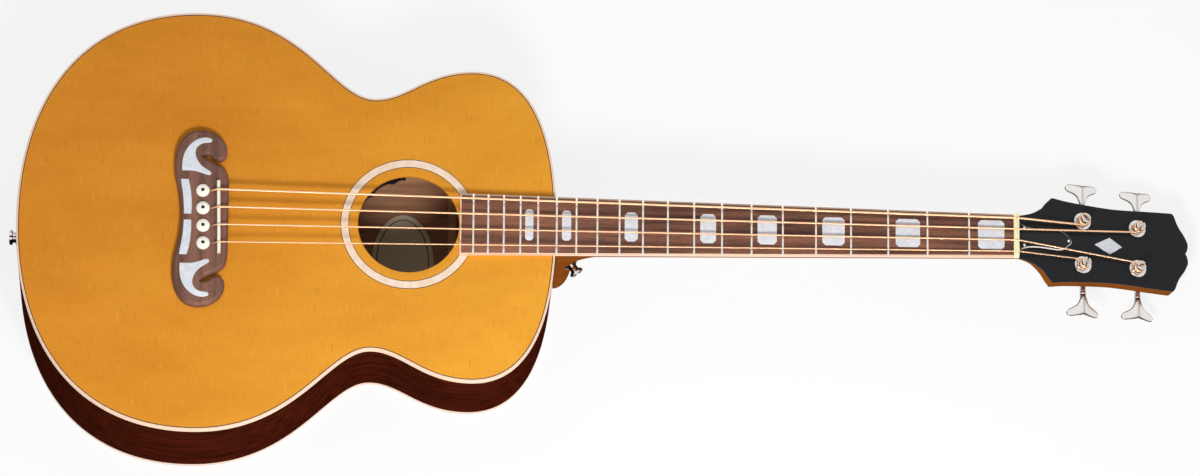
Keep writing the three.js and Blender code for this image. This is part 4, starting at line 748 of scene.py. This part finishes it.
# Moulded black plastic with a satin face, and a plain white one between its layers.
black_plastic = plain_finish("black_plastic", "#141414", 0.35, {"Specular IOR Level": 0.3})
white_plastic = plain_finish("white_plastic", "#EDEAE4", 0.35)
for name, low, high, wide, narrow in COVER_LAYERS:
    layer = on_head(slab(closed(smooth(COVER, 4)), [(wide, low), (narrow, high)]))
    plastic = white_plastic if name == "cover_line" else black_plastic
    piece(name, [layer], plastic, "truss_rod_cover")


def domed_screw(place, radius, height, sides=24):
    """A domed screw head about z, standing on a face at place."""
    dome = [(0.001, -0.5), (radius, -0.5), (radius, 0.1), (0.85 * radius, 0.6 * height),
            (0.5 * radius, 0.92 * height), (0.001, height)]
    return turned(dome, sides, place)


heads = [on_head(domed_screw((*place, COVER_TOP), 1.5, 0.8)) for place in COVER_SCREWS]
piece("cover_screws", heads, nickel, "truss_rod_cover")


# The bridge: a moustache-shaped slab of brown wood, its upper edge sloped all round, with four pearl inlays
# that follow its outline. Its grain runs along it, across the strings.
BRIDGE_FRONT = [(207.3, 0), (207.3, 12), (207.25, 25), (207.1, 37.0), (205.6, 46.5), (201.2, 52.2),
                (194.3, 56.4), (186.8, 59.6), (180.9, 64.6)]
BRIDGE_LOBE = [(180.9, 64.6), (187.2, 64.7), (191.5, 61.4), (195.8, 59.5), (200.3, 59.8), (203.9, 63.3),
               (205, 69.4), (202.9, 77.2), (197.5, 84.0), (189.5, 88.9), (180.2, 90.6), (171.1, 89.3),
               (163.3, 84.5), (157.6, 76.4), (154.6, 66.7), (153.6, 55.7), (154.6, 41.9), (157.6, 28.2),
               (159.7, 14.5), (160.5, 5), (160.6, 0)]
BRIDGE_HEIGHT = 8.5
COMMA_BACK = [(190.0, 79.3), (188.6, 81.0), (184.8, 82.0), (180.6, 81.8), (175.6, 80.2), (170.8, 76.9),
              (166.4, 72.2), (163.2, 66.3), (161.4, 59.5), (160.9, 53.0), (161.1, 47.6)]
COMMA_FRONT = [(161.1, 47.6), (165.5, 47.7), (170.5, 47.6), (175.5, 46.9), (180.5, 45.3), (184.6, 43.8),
               (187.6, 43.3), (189.4, 44.2), (189.3, 46.2), (187.0, 48.1), (183.8, 50.2), (180.0, 53.1),
               (176.7, 57.0), (174.5, 61.6), (173.6, 66.2), (174.3, 70.2), (176.5, 73.4), (179.9, 75.7),
               (184.2, 76.7), (188.2, 77.2), (190.0, 79.3)]
SLIP_BACK = [(163.9, 3.1), (163.5, 13.0), (162.4, 24.0), (160.9, 33.0), (160.2, 38.8)]
SLIP_FRONT = [(167.5, 38.8), (169.3, 31.0), (170.6, 22.0), (171.2, 12.0), (171.0, 3.1)]

bridge_outline = closed(np.vstack([smooth(BRIDGE_FRONT, 5), smooth(BRIDGE_LOBE, 5)[1:]]))
bridge_wood = tonewood("bridge_tonewood", math.pi / 2, "#8A604F", "#5A3C31")
slopes = [(0, 0.3), (0, 4.6), (0.35, 6.0), (1.2, 7.3), (2.4, 8.2), (3.0, BRIDGE_HEIGHT), (3.4, BRIDGE_HEIGHT)]
piece("bridge_slab", [slab(bridge_outline, slopes)], bridge_wood, "bridge")
comma = np.vstack([smooth(COMMA_BACK)[:-1], smooth(COMMA_FRONT)[:-1]])
slip = np.vstack([smooth(SLIP_BACK), smooth(SLIP_FRONT)])
flush = [(0, BRIDGE_HEIGHT - 1), (0, BRIDGE_HEIGHT + 0.03), (0.06, BRIDGE_HEIGHT + 0.05)]
skins = [slab(loop * (1, side), flush) for loop in (comma, slip) for side in (1, -1)]
piece("bridge_pearls", skins, pearl, "bridge")


# Bridge pins: turned bone with a domed head, each with a small black dot, behind the saddle that leans a
# little for the thicker strings.
SADDLE_AT, SADDLE_SLANT, PIN_BEHIND = 197.88, math.tan(0.027), 15.4
SADDLE_SPREAD, NUT_SPREAD = 18.0, 11.4
PIN_FLANGE = BRIDGE_HEIGHT + 0.02
PIN_TURNING = [(0.001, -15.2), (2.1, -15.2), (2.9, PIN_FLANGE), (6.3, PIN_FLANGE), (6.7, 9.1), (6.75, 9.7),
               (6.5, 10.5), (5.7, 11.3), (4.3, 11.9), (2.2, 12.25), (0.001, 12.3)]
DOT_TURNING = [(0.001, 11.5), (1.75, 11.5), (1.75, 12.32), (1.2, 12.36), (0.001, 12.38)]
NAMES = "eadg"

for k, name in enumerate(NAMES):
    y = (1.5 - k) * SADDLE_SPREAD
    foot = (SADDLE_AT - SADDLE_SLANT * y - PIN_BEHIND, y, 0)
    piece("pin_" + name, [turned(PIN_TURNING, 40, foot)], white_bone, "bridge_pin_" + name)
    piece("pin_dot_" + name, [turned(DOT_TURNING, 24, foot)], black_plastic,
          "bridge_pin_" + name)


# Strings: bronze wire wound round steel. Each comes up out of its pin hole, bends over the saddle, runs to
# the nut and down the headstock, goes two or three times round its post and in through the post's slot.
STRING_RADII = (1.15, 0.95, 0.8, 0.65)
SADDLE_TOP, SADDLE_HALF, STRING_ON_NUT = 12.6, 1.7, 8.1
POSTS = ((66.5, 22.5, 1), (124.0, 20.7, 1), (124.0, 20.7, -1), (66.5, 22.5, -1))
POST_RADIUS, POST_TOP, SLOT_FLOOR, HEX_TOP = 3.6, 12.7, 7.8, 3.2
STRING_GAP, WINDING_GAP = 0.3, 0.5
STRING_IN_PIN, BALL_HEIGHT, BALL_HALF, SADDLE_BEND, TAIL_END = 4.6, -9.0, 2.2, 2.2, 2.9
NUT_REST, NUT_LEAVE, NUT_FALL = 0.3, 5.7, 0.4
TURN_STEPS = 36
WIRE_PITCH = 0.55


def rounded(points, reach, steps=6):
    """Eases the corners of a route. Near a corner b it follows (1-t)^2 a + 2t(1-t) b + t^2 c, where a and c
    lie a reach away from b."""
    made = [points[0]]
    shares = np.linspace(0, 1, steps)[:, None]
    for a, b, c in zip(points[:-2], points[1:-1], points[2:]):
        before = b + (a - b) * min(0.5, reach / np.linalg.norm(a - b))
        after = b + (c - b) * min(0.5, reach / np.linalg.norm(c - b))
        made.append((1 - shares) ** 2 * before + 2 * shares * (1 - shares) * b + shares ** 2 * after)
    return np.vstack([*made, points[-1]])


def tube(route, radius, sides=14):
    """A skin round a route, whose section is carried along without twisting. Also gives each point's place:
    how far along, how far round, and how far out it lies."""
    ways = np.gradient(route, axis=0)
    ways /= np.linalg.norm(ways, axis=1, keepdims=True)
    across = np.cross(ways[0], (0, 1, 0.3))
    angles = around(sides)
    rings = []
    for point, way in zip(route, ways):
        across = across - way * (across @ way)
        across /= np.linalg.norm(across)
        beside = np.cross(way, across)
        rings.append(point + radius * (np.outer(np.cos(angles), across) + np.outer(np.sin(angles), beside)))
    along = np.concatenate([[0], np.cumsum(np.linalg.norm(np.diff(route, axis=0), axis=1))])
    places = np.stack(np.broadcast_arrays(along[:, None], angles[None, :], radius), -1).reshape(-1, 3)
    return np.array(rings), places


# Bronze wire on its core: a warm pale metal with a soft shine. The windings are a fine ripple along the
# string at their real pitch of 0.55 mm, worked out from its "place".
bronze, tree, shader = new_finish("wound_bronze", {
    "Base Color": linear("#F2C29A"), "Metallic": 1.0, "Roughness": 0.3})
place = add(tree, "Attribute", {"attribute_name": "place"})["Vector"]
axes = add(tree, "SeparateXYZ", {0: place})
phase = add(tree, "Math", {
    "operation": "MULTIPLY_ADD", 0: axes["X"], 1: 2 * math.pi / WIRE_PITCH, 2: axes["Y"]})
ripple = add(tree, "Math", {"operation": "SINE", 0: phase[0]})
relief = add(tree, "Bump", {"Strength": 0.5, "Distance": 0.00006, "Height": ripple[0]})
tree.links.new(relief[0], shader.inputs["Normal"])


def from_head(point):
    """The soundboard's frame to headstock millimetres."""
    return (np.asarray(point) - (HEAD_AT, 0, HEAD_RISE)) @ tilted(HEAD_ANGLE).T


slot_turns = []
for k, (name, radius, (at, offset, side)) in enumerate(zip(NAMES, STRING_RADII, POSTS)):
    y, nut_y = (1.5 - k) * SADDLE_SPREAD, (1.5 - k) * NUT_SPREAD
    crest_x = SADDLE_AT - SADDLE_SLANT * y
    crest_z = SADDLE_TOP + STRING_GAP + radius
    over = np.array([crest_x - (SADDLE_HALF + STRING_GAP + radius) * math.tan(math.pi / 8), y, crest_z])
    pin_x = crest_x - PIN_BEHIND + STRING_IN_PIN
    ball_at = np.array([pin_x, y, BALL_HEIGHT])
    nut_z = STRING_ON_NUT - BOARD_TOP + crowned(nut_y) + radius
    leave = from_head((NUT_AT + NUT_LEAVE, nut_y, nut_z - NUT_FALL))
    centre = np.array([at, side * offset])
    coil = POST_RADIUS + STRING_GAP + radius
    back = leave[:2] - centre
    start = math.atan2(back[1], back[0]) + side * math.acos(coil / np.linalg.norm(back))
    first, rise = HEX_TOP + STRING_GAP + radius, 2 * radius + WINDING_GAP
    turns = (SLOT_FLOOR + STRING_GAP + radius - first) / rise
    last = start + side * 2 * math.pi * turns
    slot_turns.append(last)
    sweep = np.linspace(0, turns, int(turns * TURN_STEPS))
    wound = ring(coil, start + side * 2 * math.pi * sweep, first + rise * sweep) + (*centre, 0)
    top = first + rise * turns
    tail = [[centre[0] + reach * math.cos(last), centre[1] + reach * math.sin(last), height]
            for reach, height in ((0.6 * POST_RADIUS, top), (radius, top), (0, top - radius), (0, TAIL_END))]
    bend = np.array([pin_x, y, crest_z - (over[0] - pin_x)])
    on_nut = np.array([NUT_AT + NUT_REST, nut_y, nut_z])
    bridge_end = rounded([ball_at, bend, over, on_nut], SADDLE_BEND)
    to_post = on_head(np.vstack([leave, wound, tail]))
    rings, places = tube(np.vstack([bridge_end, to_post]), radius)
    barrel = [(0.001, -BALL_HALF), (1.9, -BALL_HALF), (2.0, 0), (1.9, BALL_HALF), (0.001, BALL_HALF)]
    ball = turned(barrel, 14)[..., [0, 2, 1]] + ball_at
    piece("string_wire_" + name, [rings], bronze, "string_" + name, places=places, sharp=80)
    piece("ball_end_" + name, [ball], nickel, "string_" + name)


# Machine heads. Each stands in its own frame: z along its post out of the face, y towards its button,
# millimetres from the post's foot on the face. A washer and hexagon hold the bushing, and the slotted post
# turns in it.
BUSHING_BORE, WASHER_RADIUS, HEX_ACROSS = 3.9, 9.0, 12.4
WASHER_TURNING = [(BUSHING_BORE, 0.3), (WASHER_RADIUS, 0.3), (WASHER_RADIUS, 0.8),
                  (WASHER_RADIUS - 0.35, 1.15), (WASHER_RADIUS - 0.9, 1.2), (BUSHING_BORE, 1.2)]
SLEEVE_TURNING = [(BUSHING_BORE, -9.0), (5.5, -9.0), (5.5, 0.4), (BUSHING_BORE, 0.4)]
HEX_SHARES = [(1.2, 1.0), (2.5, 1.0), (2.9, 0.97), (HEX_TOP, 0.9)]
POST_FOOT, FLANGE_RADIUS = -26.3, 4.7
TRUNK_TURNING = [(0.001, POST_FOOT), (POST_RADIUS - 0.4, POST_FOOT), (POST_RADIUS, POST_FOOT + 0.4),
                 (POST_RADIUS, SLOT_FLOOR), (0.001, SLOT_FLOOR)]
PRONG_TURNING = [(POST_RADIUS, SLOT_FLOOR), (POST_RADIUS, 10.5), (3.8, 10.8), (FLANGE_RADIUS, 11.2),
                 (FLANGE_RADIUS, 11.9), (4.5, 12.35), (4.0, 12.62), (3.2, POST_TOP)]
# Painted shade and reflection: how dark each ring of the washer, hexagon and post is painted, for the shade
# round the washer and a dark room mirrored at their edges.
WASHER_PAINTED_DARK, HEX_PAINTED_DARK = [0, 1, 1, 0.6, 0, 0], [0, 1, 0.5, 0.5, 0, 0, 0.8]
PRONG_PAINTED_DARK = [0.8, 0, 0.6, 1, 0.5, 0, 0, 0.4]
WASHER_SIDES, SLEEVE_SIDES, HEX_SIDES, TRUNK_SIDES, PRONG_STEPS = 64, 48, 96, 48, 24


def on_tuner(points, k):
    """Millimetres in the frame of the k-th machine head, to the soundboard's. The treble side is mirrored."""
    at, offset, side = POSTS[k]
    return on_head(np.asarray(points, float) * (1, side, 1) + (at, side * offset, 0))


nut_angles = around(HEX_SIDES)
flat_reach = HEX_ACROSS / 2 / np.cos((nut_angles + math.pi / 6) % (math.pi / 3) - math.pi / 6)
corner_limit = HEX_ACROSS / math.sqrt(3)
hex_rings = [ring(BUSHING_BORE, nut_angles, HEX_SHARES[0][0])]
hex_rings += [ring(np.minimum(flat_reach, corner_limit * share), nut_angles, height)
              for height, share in HEX_SHARES]
hex_rings += [ring(BUSHING_BORE + 0.3, nut_angles, HEX_TOP), ring(BUSHING_BORE, nut_angles, HEX_TOP - 0.3)]

bushing_places = np.vstack([third_shares(WASHER_PAINTED_DARK, WASHER_SIDES),
                            third_shares([0] * len(SLEEVE_TURNING), SLEEVE_SIDES),
                            third_shares(HEX_PAINTED_DARK, HEX_SIDES)])
post_places = np.vstack([third_shares([0] * len(TRUNK_TURNING), TRUNK_SIDES),
                         third_shares(PRONG_PAINTED_DARK * 2, PRONG_STEPS)])
for k, name in enumerate(NAMES):
    turnings = (turned(WASHER_TURNING, WASHER_SIDES), turned(SLEEVE_TURNING, SLEEVE_SIDES), hex_rings)
    skins = [on_tuner(rings, k) for rings in turnings]
    piece("bushing_nut_" + name, skins, nickel, "bushing_" + name, looped=True,
          places=bushing_places, sharp=28)

    slot_half = STRING_RADII[k] + STRING_GAP
    turn = POSTS[k][2] * slot_turns[k]
    skins = [on_tuner(turned(TRUNK_TURNING, TRUNK_SIDES), k)]
    for way in (0, math.pi):
        rings = []
        for reach, height in PRONG_TURNING:
            low = math.asin(min(0.95, slot_half / reach))
            rings.append(ring(reach, np.linspace(low, math.pi - low, PRONG_STEPS) + way + turn, height))
        skins.append(on_tuner(rings, k))
    piece("slotted_post_" + name, skins, nickel, "post_" + name, body="post_" + name,
          places=post_places)


# Worm wheels: machined brass with sixteen rounded teeth, r + h cos(16 a), which lean with the worm's
# thread. Each is fixed to its post behind the headstock.
WORM_AXIS, WORM_OFFSET = -22.3, 7.9
WHEEL_RADIUS, WHEEL_THICKNESS, TEETH, TOOTH_HEIGHT = 5.4, 4.0, 16, 0.5
WHEEL_EASE, WORM_RADIUS, WORM_LENGTH = 0.35, 2.2, 6.6
THREAD_PITCH = 2 * math.pi * WHEEL_RADIUS / TEETH

# Machined brass: a warm yellow metal with a soft shine.
brass = plain_finish("machined_brass", "#D9B36A", 0.28, {"Metallic": 1.0})
tooth_angles = around(12 * TEETH)
lean = THREAD_PITCH / (2 * math.pi * WORM_RADIUS) * (WHEEL_THICKNESS / 2 / WHEEL_RADIUS)
for k, name in enumerate(NAMES):
    rings = []
    for share in (-1, -0.85, -0.4, 0, 0.4, 0.85, 1):
        narrowing = WHEEL_EASE if abs(share) == 1 else 0
        reach = WHEEL_RADIUS + TOOTH_HEIGHT * np.cos(TEETH * tooth_angles) - narrowing
        rings.append(ring(reach, tooth_angles + share * lean, WORM_AXIS + share * WHEEL_THICKNESS / 2))
    rings += [ring(POST_RADIUS + 0.1, tooth_angles, WORM_AXIS + way * WHEEL_THICKNESS / 2) for way in (1, -1)]
    piece("gear_" + name, [on_tuner(rings, k)], brass, "worm_wheel_" + name, body="post_" + name,
          looped=True, sharp=40)


# Tuning keys: worm, shaft, collar and button turn as one. The button is a leaf of two rounded lobes, folded
# along its middle to a ridge, and thicker there than at its edges.
KEY_TURNING = [(0.001, -6.0), (1.3, -6.0), (1.5, -5.8), (1.5, 6.0), (2.9, 6.0), (3.1, 6.3), (3.1, 19.4),
               (2.7, 19.8), (2.7, 20.2), (3.3, 20.6), (3.3, 22.6), (2.9, 23.2), (3.0, 25.0), (2.6, 30.0),
               (1.6, 39.0), (0.001, 40.0)]
# Painted reflection: how dark each ring of the key's shaft and collar is painted at its edges.
KEY_PAINTED_DARK = [0, 0, 0, 0, 0.5, 0, 0, 0.8, 0.8, 0, 0, 0.9, 0.5, 0, 0, 0]
LEAF_INNER = [(0, 0), (2.6, 0), (3.1, 3), (4.2, 7), (6.6, 10.6), (10, 13), (13.5, 14.7), (15.6, 16.3),
              (16.5, 18.9)]
LEAF_OUTER = [(0, 20.7), (2, 21.3), (6, 21.8), (11, 22.4), (13.8, 22.3), (15.7, 21.2), (16.5, 18.9)]
LEAF_START, LEAF_HALF, LEAF_FOLD, LEAF_THICKNESS = 23.4, 16.5, 0.3, 2.8
LEAF_STEPS, RIM_STEPS, WORM_STEPS, WORM_SIDES, SHAFT_SIDES = 33, 20, 90, 20, 40

inner, outer = smooth(LEAF_INNER), smooth(LEAF_OUTER)
worm_rings = []
for along in np.linspace(-WORM_LENGTH / 2, WORM_LENGTH / 2, WORM_STEPS):
    phase = 2 * math.pi * along / THREAD_PITCH + math.pi / 2
    aside = (TOOTH_HEIGHT * math.cos(phase), TOOTH_HEIGHT * math.sin(phase), 0)
    worm_rings.append((ring(WORM_RADIUS, phase + around(WORM_SIDES), along) + aside)[:, [1, 2, 0]])
leaf_rings, leaf_painted_dark = [], []
rims = around(RIM_STEPS)
for share in np.sin(np.linspace(-math.pi / 2, math.pi / 2, LEAF_STEPS)):
    across = share * LEAF_HALF
    near, far = np.interp(abs(across), *inner.T), np.interp(abs(across), *outer.T)
    thick = LEAF_THICKNESS / 2 * (1 - 0.4 * abs(share))
    ridge = LEAF_FOLD * (LEAF_HALF / 2 - abs(across))
    along = (near + far) / 2 + (far - near) / 2 * np.sign(np.cos(rims)) * np.abs(np.cos(rims)) ** 0.3
    high = ridge + thick * np.sign(np.sin(rims)) * np.abs(np.sin(rims)) ** 0.7
    leaf_rings.append(np.column_stack([np.full(RIM_STEPS, across), LEAF_START + along, high]))
    # Painted reflection and shade: the leaf is painted dark along its rims, at its tips and in a line along
    # its ridge.
    rim_edge = np.clip((np.abs(np.cos(rims)) - 0.45) / 0.3, 0, 1)
    tip_edge = np.clip((abs(share) - 0.95) / 0.04, 0, 1)
    ridge_line = 0.45 if abs(share) < 0.02 else 0
    leaf_painted_dark.append(third_shares(np.maximum(rim_edge, max(tip_edge, ridge_line))))
shaft_rings = turned(KEY_TURNING, SHAFT_SIDES)[..., [0, 2, 1]]
key_places = np.vstack([third_shares([0] * WORM_STEPS, WORM_SIDES), third_shares(KEY_PAINTED_DARK, SHAFT_SIDES),
                        *leaf_painted_dark])
for k, name in enumerate(NAMES):
    skins = [on_tuner(np.array(rings) + (WORM_OFFSET, 0, WORM_AXIS), k)
             for rings in (worm_rings, shaft_rings, leaf_rings)]
    piece("tuning_key_" + name, skins, nickel, "key_" + name, body="key_" + name,
          places=key_places, sharp=24)


# Base plates: bent from nickel-plated steel, each with two ears that carry its worm's shaft. Four domed
# screws hold each to the headstock's back.
PLATE_HALF, PLATE_CORNER, PLATE_TOP, PLATE_BOTTOM = (18.0, 10.0), 3.2, -15.3, -16.9
EAR_THICKNESS, EAR_HALF, EAR_EASE, EAR_GAP = 2.2, 2.9, 0.3, 0.25
EAR_AT = WORM_LENGTH / 2 + EAR_GAP + EAR_THICKNESS / 2
PLATE_SCREWS = [(x, y) for x in (14.8, -14.8) for y in (6.8, -6.8)]

corner_middle = np.array(PLATE_HALF) - PLATE_CORNER
plate_outline = np.vstack([
    ring(PLATE_CORNER, np.linspace(0, math.pi / 2, 8) + turn, 0)[:, :2] + corner_middle * corner
    for corner, turn in (((1, 1), 0), ((-1, 1), math.pi / 2), ((-1, -1), math.pi), ((1, -1), 1.5 * math.pi))])
plate_steps = [(0.5, PLATE_BOTTOM), (0, PLATE_BOTTOM + 0.4), (0, PLATE_TOP)]
ear_outline = np.vstack([[(EAR_HALF, PLATE_BOTTOM + 0.5), (-EAR_HALF, PLATE_BOTTOM + 0.5)],
                         ring(EAR_HALF, np.linspace(math.pi, 2 * math.pi, 16), 0)[:, :2] + (0, WORM_AXIS)])
ear_half = EAR_THICKNESS / 2
ear_steps = [(EAR_EASE, -ear_half), (0, EAR_EASE - ear_half), (0, ear_half - EAR_EASE), (EAR_EASE, ear_half)]
ear = np.array(slab(ear_outline, ear_steps))[..., [0, 2, 1]] + (WORM_OFFSET, 0, 0)
for k, name in enumerate(NAMES):
    skins = [on_tuner(slab(plate_outline, plate_steps), k)]
    skins += [on_tuner(ear + (0, way * EAR_AT, 0), k) for way in (1, -1)]
    piece("gear_plate_" + name, skins, nickel, "base_plate_" + name)
    screw = domed_screw((0, 0, 0), 2.0, 0.9) * (1, 1, -1)
    screws = [on_tuner(screw + (x, y, PLATE_BOTTOM), k) for x, y in PLATE_SCREWS]
    piece("plate_screws_" + name, screws, nickel, "base_plate_" + name)


# Controls under the rim of the soundhole: the housing and its two knurled thumb wheels keep their solids,
# in black plastic.
for node in ("preamp_housing", "volume_wheel", "tone_wheel"):
    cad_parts[node].data.materials[0] = black_plastic


# A plain oval of aged paper with a fine brown line along its edge. It is glued inside the back, under the
# soundhole, and follows its arch.
PAPER_CENTRE, PAPER_HALF, PAPER_LINE_IN, PAPER_LINE = (380.0, -5.0), (31.0, 51.0), 4.5, 0.9

# Aged paper: a dull yellowish cream. The ink on it is a dull dark brown.
paper = plain_finish("aged_paper", "#EADBBB", 0.9)
brown_ink = plain_finish("brown_ink", "#4A3020", 0.9)
oval = ring(1, around(96), 0)[:, :2] * PAPER_HALF + PAPER_CENTRE


def laid(steps):
    """Rings on the back's inside: the oval inset by a distance and lifted off the wood, for each step."""
    loops = [(inset(oval, distance), lift) for distance, lift in steps]
    return [raised(loop, back_height(loop) + BACK_THICKNESS + lift) for loop, lift in loops]


line_end = PAPER_LINE_IN + PAPER_LINE
line = laid([(PAPER_LINE_IN, 0.1), (PAPER_LINE_IN, 0.3), (line_end, 0.3), (line_end, 0.1)])
piece("paper_oval", [laid([(0, 0.02), (0, 0.2), (0.05, 0.24)])], paper, "back_plate")
piece("paper_line", [line], brown_ink, "back_plate", looped=True)


# The strap button on the treble side of the heel, and the end pin at the tail, which is also the socket for
# a lead: both turned and nickel-plated.
PIN_SIDES, BUTTON_BAND_TURN, JACK_BAND_TURN = 96, -0.19, 0.32
BUTTON_AT, BUTTON_TURN = (544.61, -23.20, -44.0), 0.61
BUTTON_TURNING = [(0.001, -14), (2, -14), (2, 0.3), (6.5, 0.3), (6.9, 0.7), (6.9, 1.5), (5.6, 2.3),
                  (4.5, 3.2), (4.2, 4.6), (4.2, 6.2), (4.6, 7.6), (5.7, 8.6), (6.9, 9.6), (6.9, 11.3),
                  (6.5, 11.8), (5.6, 12), (3.2, 11.9), (2.8, 11.5), (0.001, 11.4)]
JACK_HEIGHT = -69.0
JACK_TURNING = [(0.001, -21.4), (3.3, -21.4), (3.3, 8.3), (3.6, 8.6), (6.8, 8.6), (7.4, 8.1), (7.4, 5.9),
                (6.9, 5.4), (5.2, 5.1), (5.2, 2.6), (6.9, 2.2), (7.4, 1.9), (7.4, 0.5), (7.1, 0.3),
                (5.8, 0.3), (5.8, -42), (0.001, -42)]


def standing(points, foot, way):
    """Points from a frame about z to one whose z axis points the given way."""
    z = np.array(way) / np.linalg.norm(way)
    x = np.cross((0, 0, 1), z)
    x /= np.linalg.norm(x)
    return np.asarray(points) @ np.array([x, np.cross(z, x), z]) + foot


# Polished nickel mirrors a dark and a bright side of its surroundings, which are drawn as bands along each
# pin.
mirror_nickel = toned_metal("polished_nickel", 0.14, "#EFE8E6", "#0D0B0B")
JACK_BANDS = [(-1, 0.5), (-0.3, 0.35), (-0.23, 1), (-0.07, 1), (0, 0), (0.22, 0), (0.3, 1), (1, 1)]
BUTTON_BANDS = [(-1, 1), (-0.55, 1), (-0.4, 0), (0.4, 0), (0.55, 1), (1, 1)]


def banded(turning, bands, turn):
    """Places of a turned pin's points: how dark each is, from the cosine of its angle past the given turn."""
    level = np.interp(np.cos(around(PIN_SIDES) + turn), *np.transpose(bands))
    return third_shares(np.tile(level, len(turning)))


button_way = (math.sin(BUTTON_TURN), -math.cos(BUTTON_TURN), 0)
button = standing(turned(BUTTON_TURNING, PIN_SIDES), BUTTON_AT, button_way)
piece("strap_knob", [button], mirror_nickel, "strap_button",
      places=banded(BUTTON_TURNING, BUTTON_BANDS, BUTTON_BAND_TURN))
jack = standing(turned(JACK_TURNING, PIN_SIDES), (0, 0, JACK_HEIGHT), (-1, 0, 0))
piece("end_pin", [jack], mirror_nickel, "endpin_jack",
      places=banded(JACK_TURNING, JACK_BANDS, JACK_BAND_TURN))
